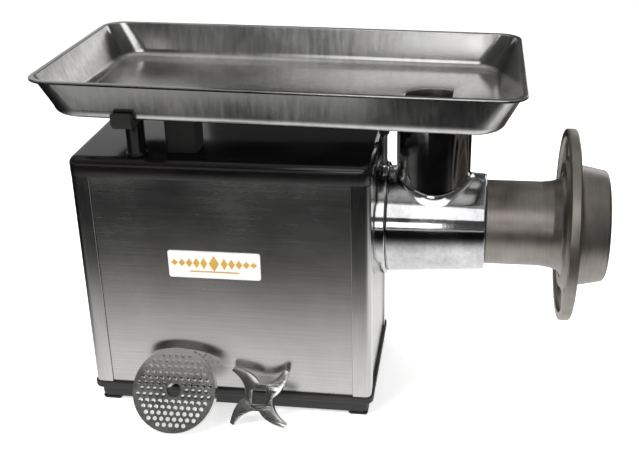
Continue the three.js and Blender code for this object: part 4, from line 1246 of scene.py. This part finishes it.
class GRINDER_OT_stage(bpy.types.Operator):
    """Make the floor, the backdrop, the reflection cards, the world, the soft lights and the camera"""

    bl_idname = "grinder.stage"
    bl_label = "Stage"

    def execute(self, context):
        scene = context.scene
        scene.view_settings.view_transform = "Standard"
        settings = scene.grinder_stage
        self.make_floor(settings)
        self.make_backdrop()
        self.make_cards()
        self.make_world(scene)
        self.make_lights(scene, settings)
        self.make_camera(scene)
        return {"FINISHED"}

    def sheet(self, name, corners, material):
        mesh = bpy.data.meshes.new(name)
        mesh.from_pydata(corners, [], [(0, 1, 2, 3)])
        mesh.materials.append(material)
        sheet = new_piece(name, mesh)
        return sheet

    def make_floor(self, settings):
        finish = Finish("pale floor").set(Roughness=0.8)
        finish.shader.inputs["Base Color"].default_value = (*settings.floor_colour, 1)
        finish.shader.inputs["Emission Color"].default_value = (1, 1, 1, 1)
        finish.shader.inputs["Emission Strength"].default_value = 0.6
        finish.shader.inputs["Specular IOR Level"].default_value = 0.1
        far = 30.0
        self.sheet("floor", [(-far, -far, 0), (far, -far, 0), (far, far, 0), (-far, far, 0)], finish.material)

    def make_backdrop(self):
        """Pale walls far away, seen only by the camera."""
        far, top = 29.0, 30.0
        material = self.glow("pale backdrop", 0.9)[0]
        corners = [(-far, -far), (far, -far), (far, far), (-far, far)]
        for i, (x, y) in enumerate(corners):
            next_x, next_y = corners[(i + 1) % 4]
            wall = self.sheet(
                f"backdrop_{i}", [(x, y, -1), (next_x, next_y, -1), (next_x, next_y, top), (x, y, top)], material
            )
            wall.visible_diffuse = wall.visible_glossy = wall.visible_shadow = wall.visible_transmission = False

    def glow(self, name, brightness):
        """An even glow. Returns the material and its emission node."""
        material = bpy.data.materials.new(name)
        material.use_nodes = True
        nodes, links = material.node_tree.nodes, material.node_tree.links
        nodes.clear()
        emission = nodes.new("ShaderNodeEmission")
        emission.inputs["Strength"].default_value = brightness
        out = nodes.new("ShaderNodeOutputMaterial")
        links.new(emission.outputs["Emission"], out.inputs["Surface"])
        return material, emission

    def card(self, name, corners, material):
        """A card that only shows in reflections."""
        card = self.sheet(name, corners, material)
        card.visible_camera = card.visible_diffuse = card.visible_shadow = card.visible_transmission = False
        card.visible_volume_scatter = False

    def make_painted_floor_reflection(self):
        """A painted reflection that polished faces see in place of the floor: a painted pool of light near the grinder,
        and painted shade further away.
        """
        material, emission = self.glow("painted floor reflection", 1.0)
        nodes, links = material.node_tree.nodes, material.node_tree.links
        place = nodes.new("ShaderNodeNewGeometry")
        parts = nodes.new("ShaderNodeSeparateXYZ")
        links.new(place.outputs["Position"], parts.inputs["Vector"])
        low, high = CAD_BOX
        distance = None
        edges = (("Y", ORIGIN_Y, -1), ("X", low[0] + 0.12, -1), ("X", high[0] + 0.02, 1), ("Y", high[1], 1))
        for axis, edge, sign in edges:
            away = nodes.new("ShaderNodeMath")
            away.operation = "MULTIPLY_ADD"
            links.new(parts.outputs[axis], away.inputs[0])
            away.inputs[1].default_value = sign
            away.inputs[2].default_value = -sign * edge
            if distance:
                largest = nodes.new("ShaderNodeMath")
                largest.operation = "MAXIMUM"
                links.new(distance, largest.inputs[0])
                links.new(away.outputs[0], largest.inputs[1])
                distance = largest.outputs[0]
            else:
                distance = away.outputs[0]
        ramp = nodes.new("ShaderNodeValToRGB")
        # Painted light and shade: full glow at the housing's edges, falling to near black a little further out.
        stops = ((0.0, 1.0), (0.09, 0.98), (0.18, 0.7), (0.27, 0.33), (0.38, 0.09), (0.5, 0.02), (0.62, 0.004))
        self.fill_ramp(ramp, stops)
        links.new(distance, ramp.inputs["Fac"])
        links.new(ramp.outputs["Color"], emission.inputs["Color"])
        far, height = 6.0, 0.0006
        corners = [(-far, -far, height), (far, -far, height), (far, far, height), (-far, far, height)]
        self.card("painted_floor_reflection", corners, material)

    def fill_ramp(self, ramp, stops):
        elements = ramp.color_ramp.elements
        elements[0].position, elements[1].position = stops[0][0], stops[-1][0]
        elements[0].color = (*[stops[0][1]] * 3, 1)
        elements[1].color = (*[stops[-1][1]] * 3, 1)
        for position, value in stops[1:-1]:
            elements.new(position).color = (value, value, value, 1)

    def make_cards(self):
        self.make_painted_floor_reflection()
        rows = (
            ("front_softbox", 1.6, (-0.25, -1.3, 0.8), (0.8, -1.3, 1.9)),
            ("front_strip", 3.4, (-0.12, -1.6, 0.34), (0.28, -1.6, 0.62)),
            ("low_strip", 0.5, (-0.42, -0.3, 0.245), (0.03, -0.3, 0.305)),
            ("rear_left_wall", 0.5, (-2.4, 1.5, 0.2), (-0.55, 1.5, 1.4)),
            ("rear_right_wall", 1.5, (0.42, 1.5, 0.3), (1.5, 1.5, 1.1)),
        )
        for name, brightness, low, high in rows:
            corners = [low, (high[0], low[1], low[2]), high, (low[0], low[1], high[2])]
            self.card(name, corners, self.glow(name, brightness)[0])

    def make_world(self, scene):
        world = bpy.data.worlds.new("studio")
        scene.world = world
        world.use_nodes = True
        nodes, links = world.node_tree.nodes, world.node_tree.links
        place = nodes.new("ShaderNodeTexCoord")
        parts = nodes.new("ShaderNodeSeparateXYZ")
        links.new(place.outputs["Generated"], parts.inputs["Vector"])
        ramp = nodes.new("ShaderNodeValToRGB")
        self.fill_ramp(ramp, ((0.0, 0.08), (0.1, 0.1), (0.25, 0.07), (0.5, 0.07), (0.7, 0.2), (0.9, 0.5)))
        links.new(parts.outputs["Z"], ramp.inputs["Fac"])
        links.new(ramp.outputs["Color"], nodes["Background"].inputs["Color"])
        nodes["Background"].inputs["Strength"].default_value = 1.0

    def make_lights(self, scene, settings):
        aim = Vector(to_frame((LENGTH / 2, MIDDLE, 200.0)))
        rows = (
            ("key", (-1.1, -1.2, 1.9), (1.1, 1.1), settings.key_power),
            ("fill", (1.6, -0.8, 1.1), (0.8, 1.4), settings.key_power * 0.4),
            ("top", (0.1, 0.4, 2.1), (2.0, 1.2), settings.key_power * 0.7),
        )
        for name, place, size, power in rows:
            light = bpy.data.lights.new(name, "AREA")
            light.shape = "RECTANGLE"
            light.size, light.size_y = size
            light.energy = power
            lamp = bpy.data.objects.new(name, light)
            scene.collection.objects.link(lamp)
            lamp.location = place
            lamp.rotation_euler = (aim - Vector(place)).to_track_quat("-Z", "Y").to_euler()
            lamp.visible_glossy = False

    def make_camera(self, scene):
        # The camera that was fitted to outlines in the photo.
        azimuth, elevation, roll = math.radians(9.11659), math.radians(24.35714), math.radians(-1.4377)
        ahead = Vector((
            -math.sin(azimuth) * math.cos(elevation), math.cos(azimuth) * math.cos(elevation), -math.sin(elevation),
        ))
        level = Vector((math.cos(azimuth), math.sin(azimuth), 0))
        upright = level.cross(ahead)
        right = math.cos(roll) * level + math.sin(roll) * upright
        up = -math.sin(roll) * level + math.cos(roll) * upright
        data = bpy.data.cameras.new("camera")
        data.lens, data.sensor_width = 57.088, 36.0
        camera = bpy.data.objects.new("camera", data)
        scene.collection.objects.link(camera)
        place = Vector((0.155309, -1.089132, 0.708531))
        camera.matrix_world = Matrix((
            (right.x, up.x, -ahead.x, place.x),
            (right.y, up.y, -ahead.y, place.y),
            (right.z, up.z, -ahead.z, place.z),
            (0, 0, 0, 1),
        ))
        scene.camera = camera


# ---------------------------------------------------------------- add-on

OPERATORS = (
    GRINDER_OT_housing,
    GRINDER_OT_panels,
    GRINDER_OT_label,
    GRINDER_OT_controls,
    GRINDER_OT_tray,
    GRINDER_OT_support,
    GRINDER_OT_neck,
    GRINDER_OT_head,
    GRINDER_OT_cutter_barrel,
    GRINDER_OT_worm,
    GRINDER_OT_knives,
    GRINDER_OT_plates,
    GRINDER_OT_ring,
    GRINDER_OT_works,
    GRINDER_OT_stage,
)


class GRINDER_PT_panel(bpy.types.Panel):
    """Lists the grinder's pieces in the sidebar."""

    bl_idname = "GRINDER_PT_panel"
    bl_label = "Meat grinder"
    bl_space_type = "VIEW_3D"
    bl_region_type = "UI"
    bl_category = "Grinder"

    def draw(self, context):
        for name in ("grinder_cutters", "grinder_tray", "grinder_stage"):
            settings = getattr(context.scene, name)
            for key in settings.bl_rna.properties.keys():
                if key not in {"rna_type", "name"}:
                    self.layout.prop(settings, key)
        for operator in OPERATORS:
            self.layout.operator(operator.bl_idname)


GROUPS = {
    "grinder_cutters": GRINDER_PG_cutters,
    "grinder_tray": GRINDER_PG_tray,
    "grinder_stage": GRINDER_PG_stage,
}


def register():
    for name, group in GROUPS.items():
        bpy.utils.register_class(group)
        setattr(bpy.types.Scene, name, bpy.props.PointerProperty(type=group))
    for operator in OPERATORS:
        bpy.utils.register_class(operator)
    bpy.utils.register_class(GRINDER_PT_panel)


def unregister():
    bpy.utils.unregister_class(GRINDER_PT_panel)
    for operator in reversed(OPERATORS):
        bpy.utils.unregister_class(operator)
    for name, group in GROUPS.items():
        delattr(bpy.types.Scene, name)
        bpy.utils.unregister_class(group)


def main():
    register()
    for operator in OPERATORS:
        family, call = operator.bl_idname.split(".")
        getattr(getattr(bpy.ops, family), call)()


if __name__ == "__main__":
    main()
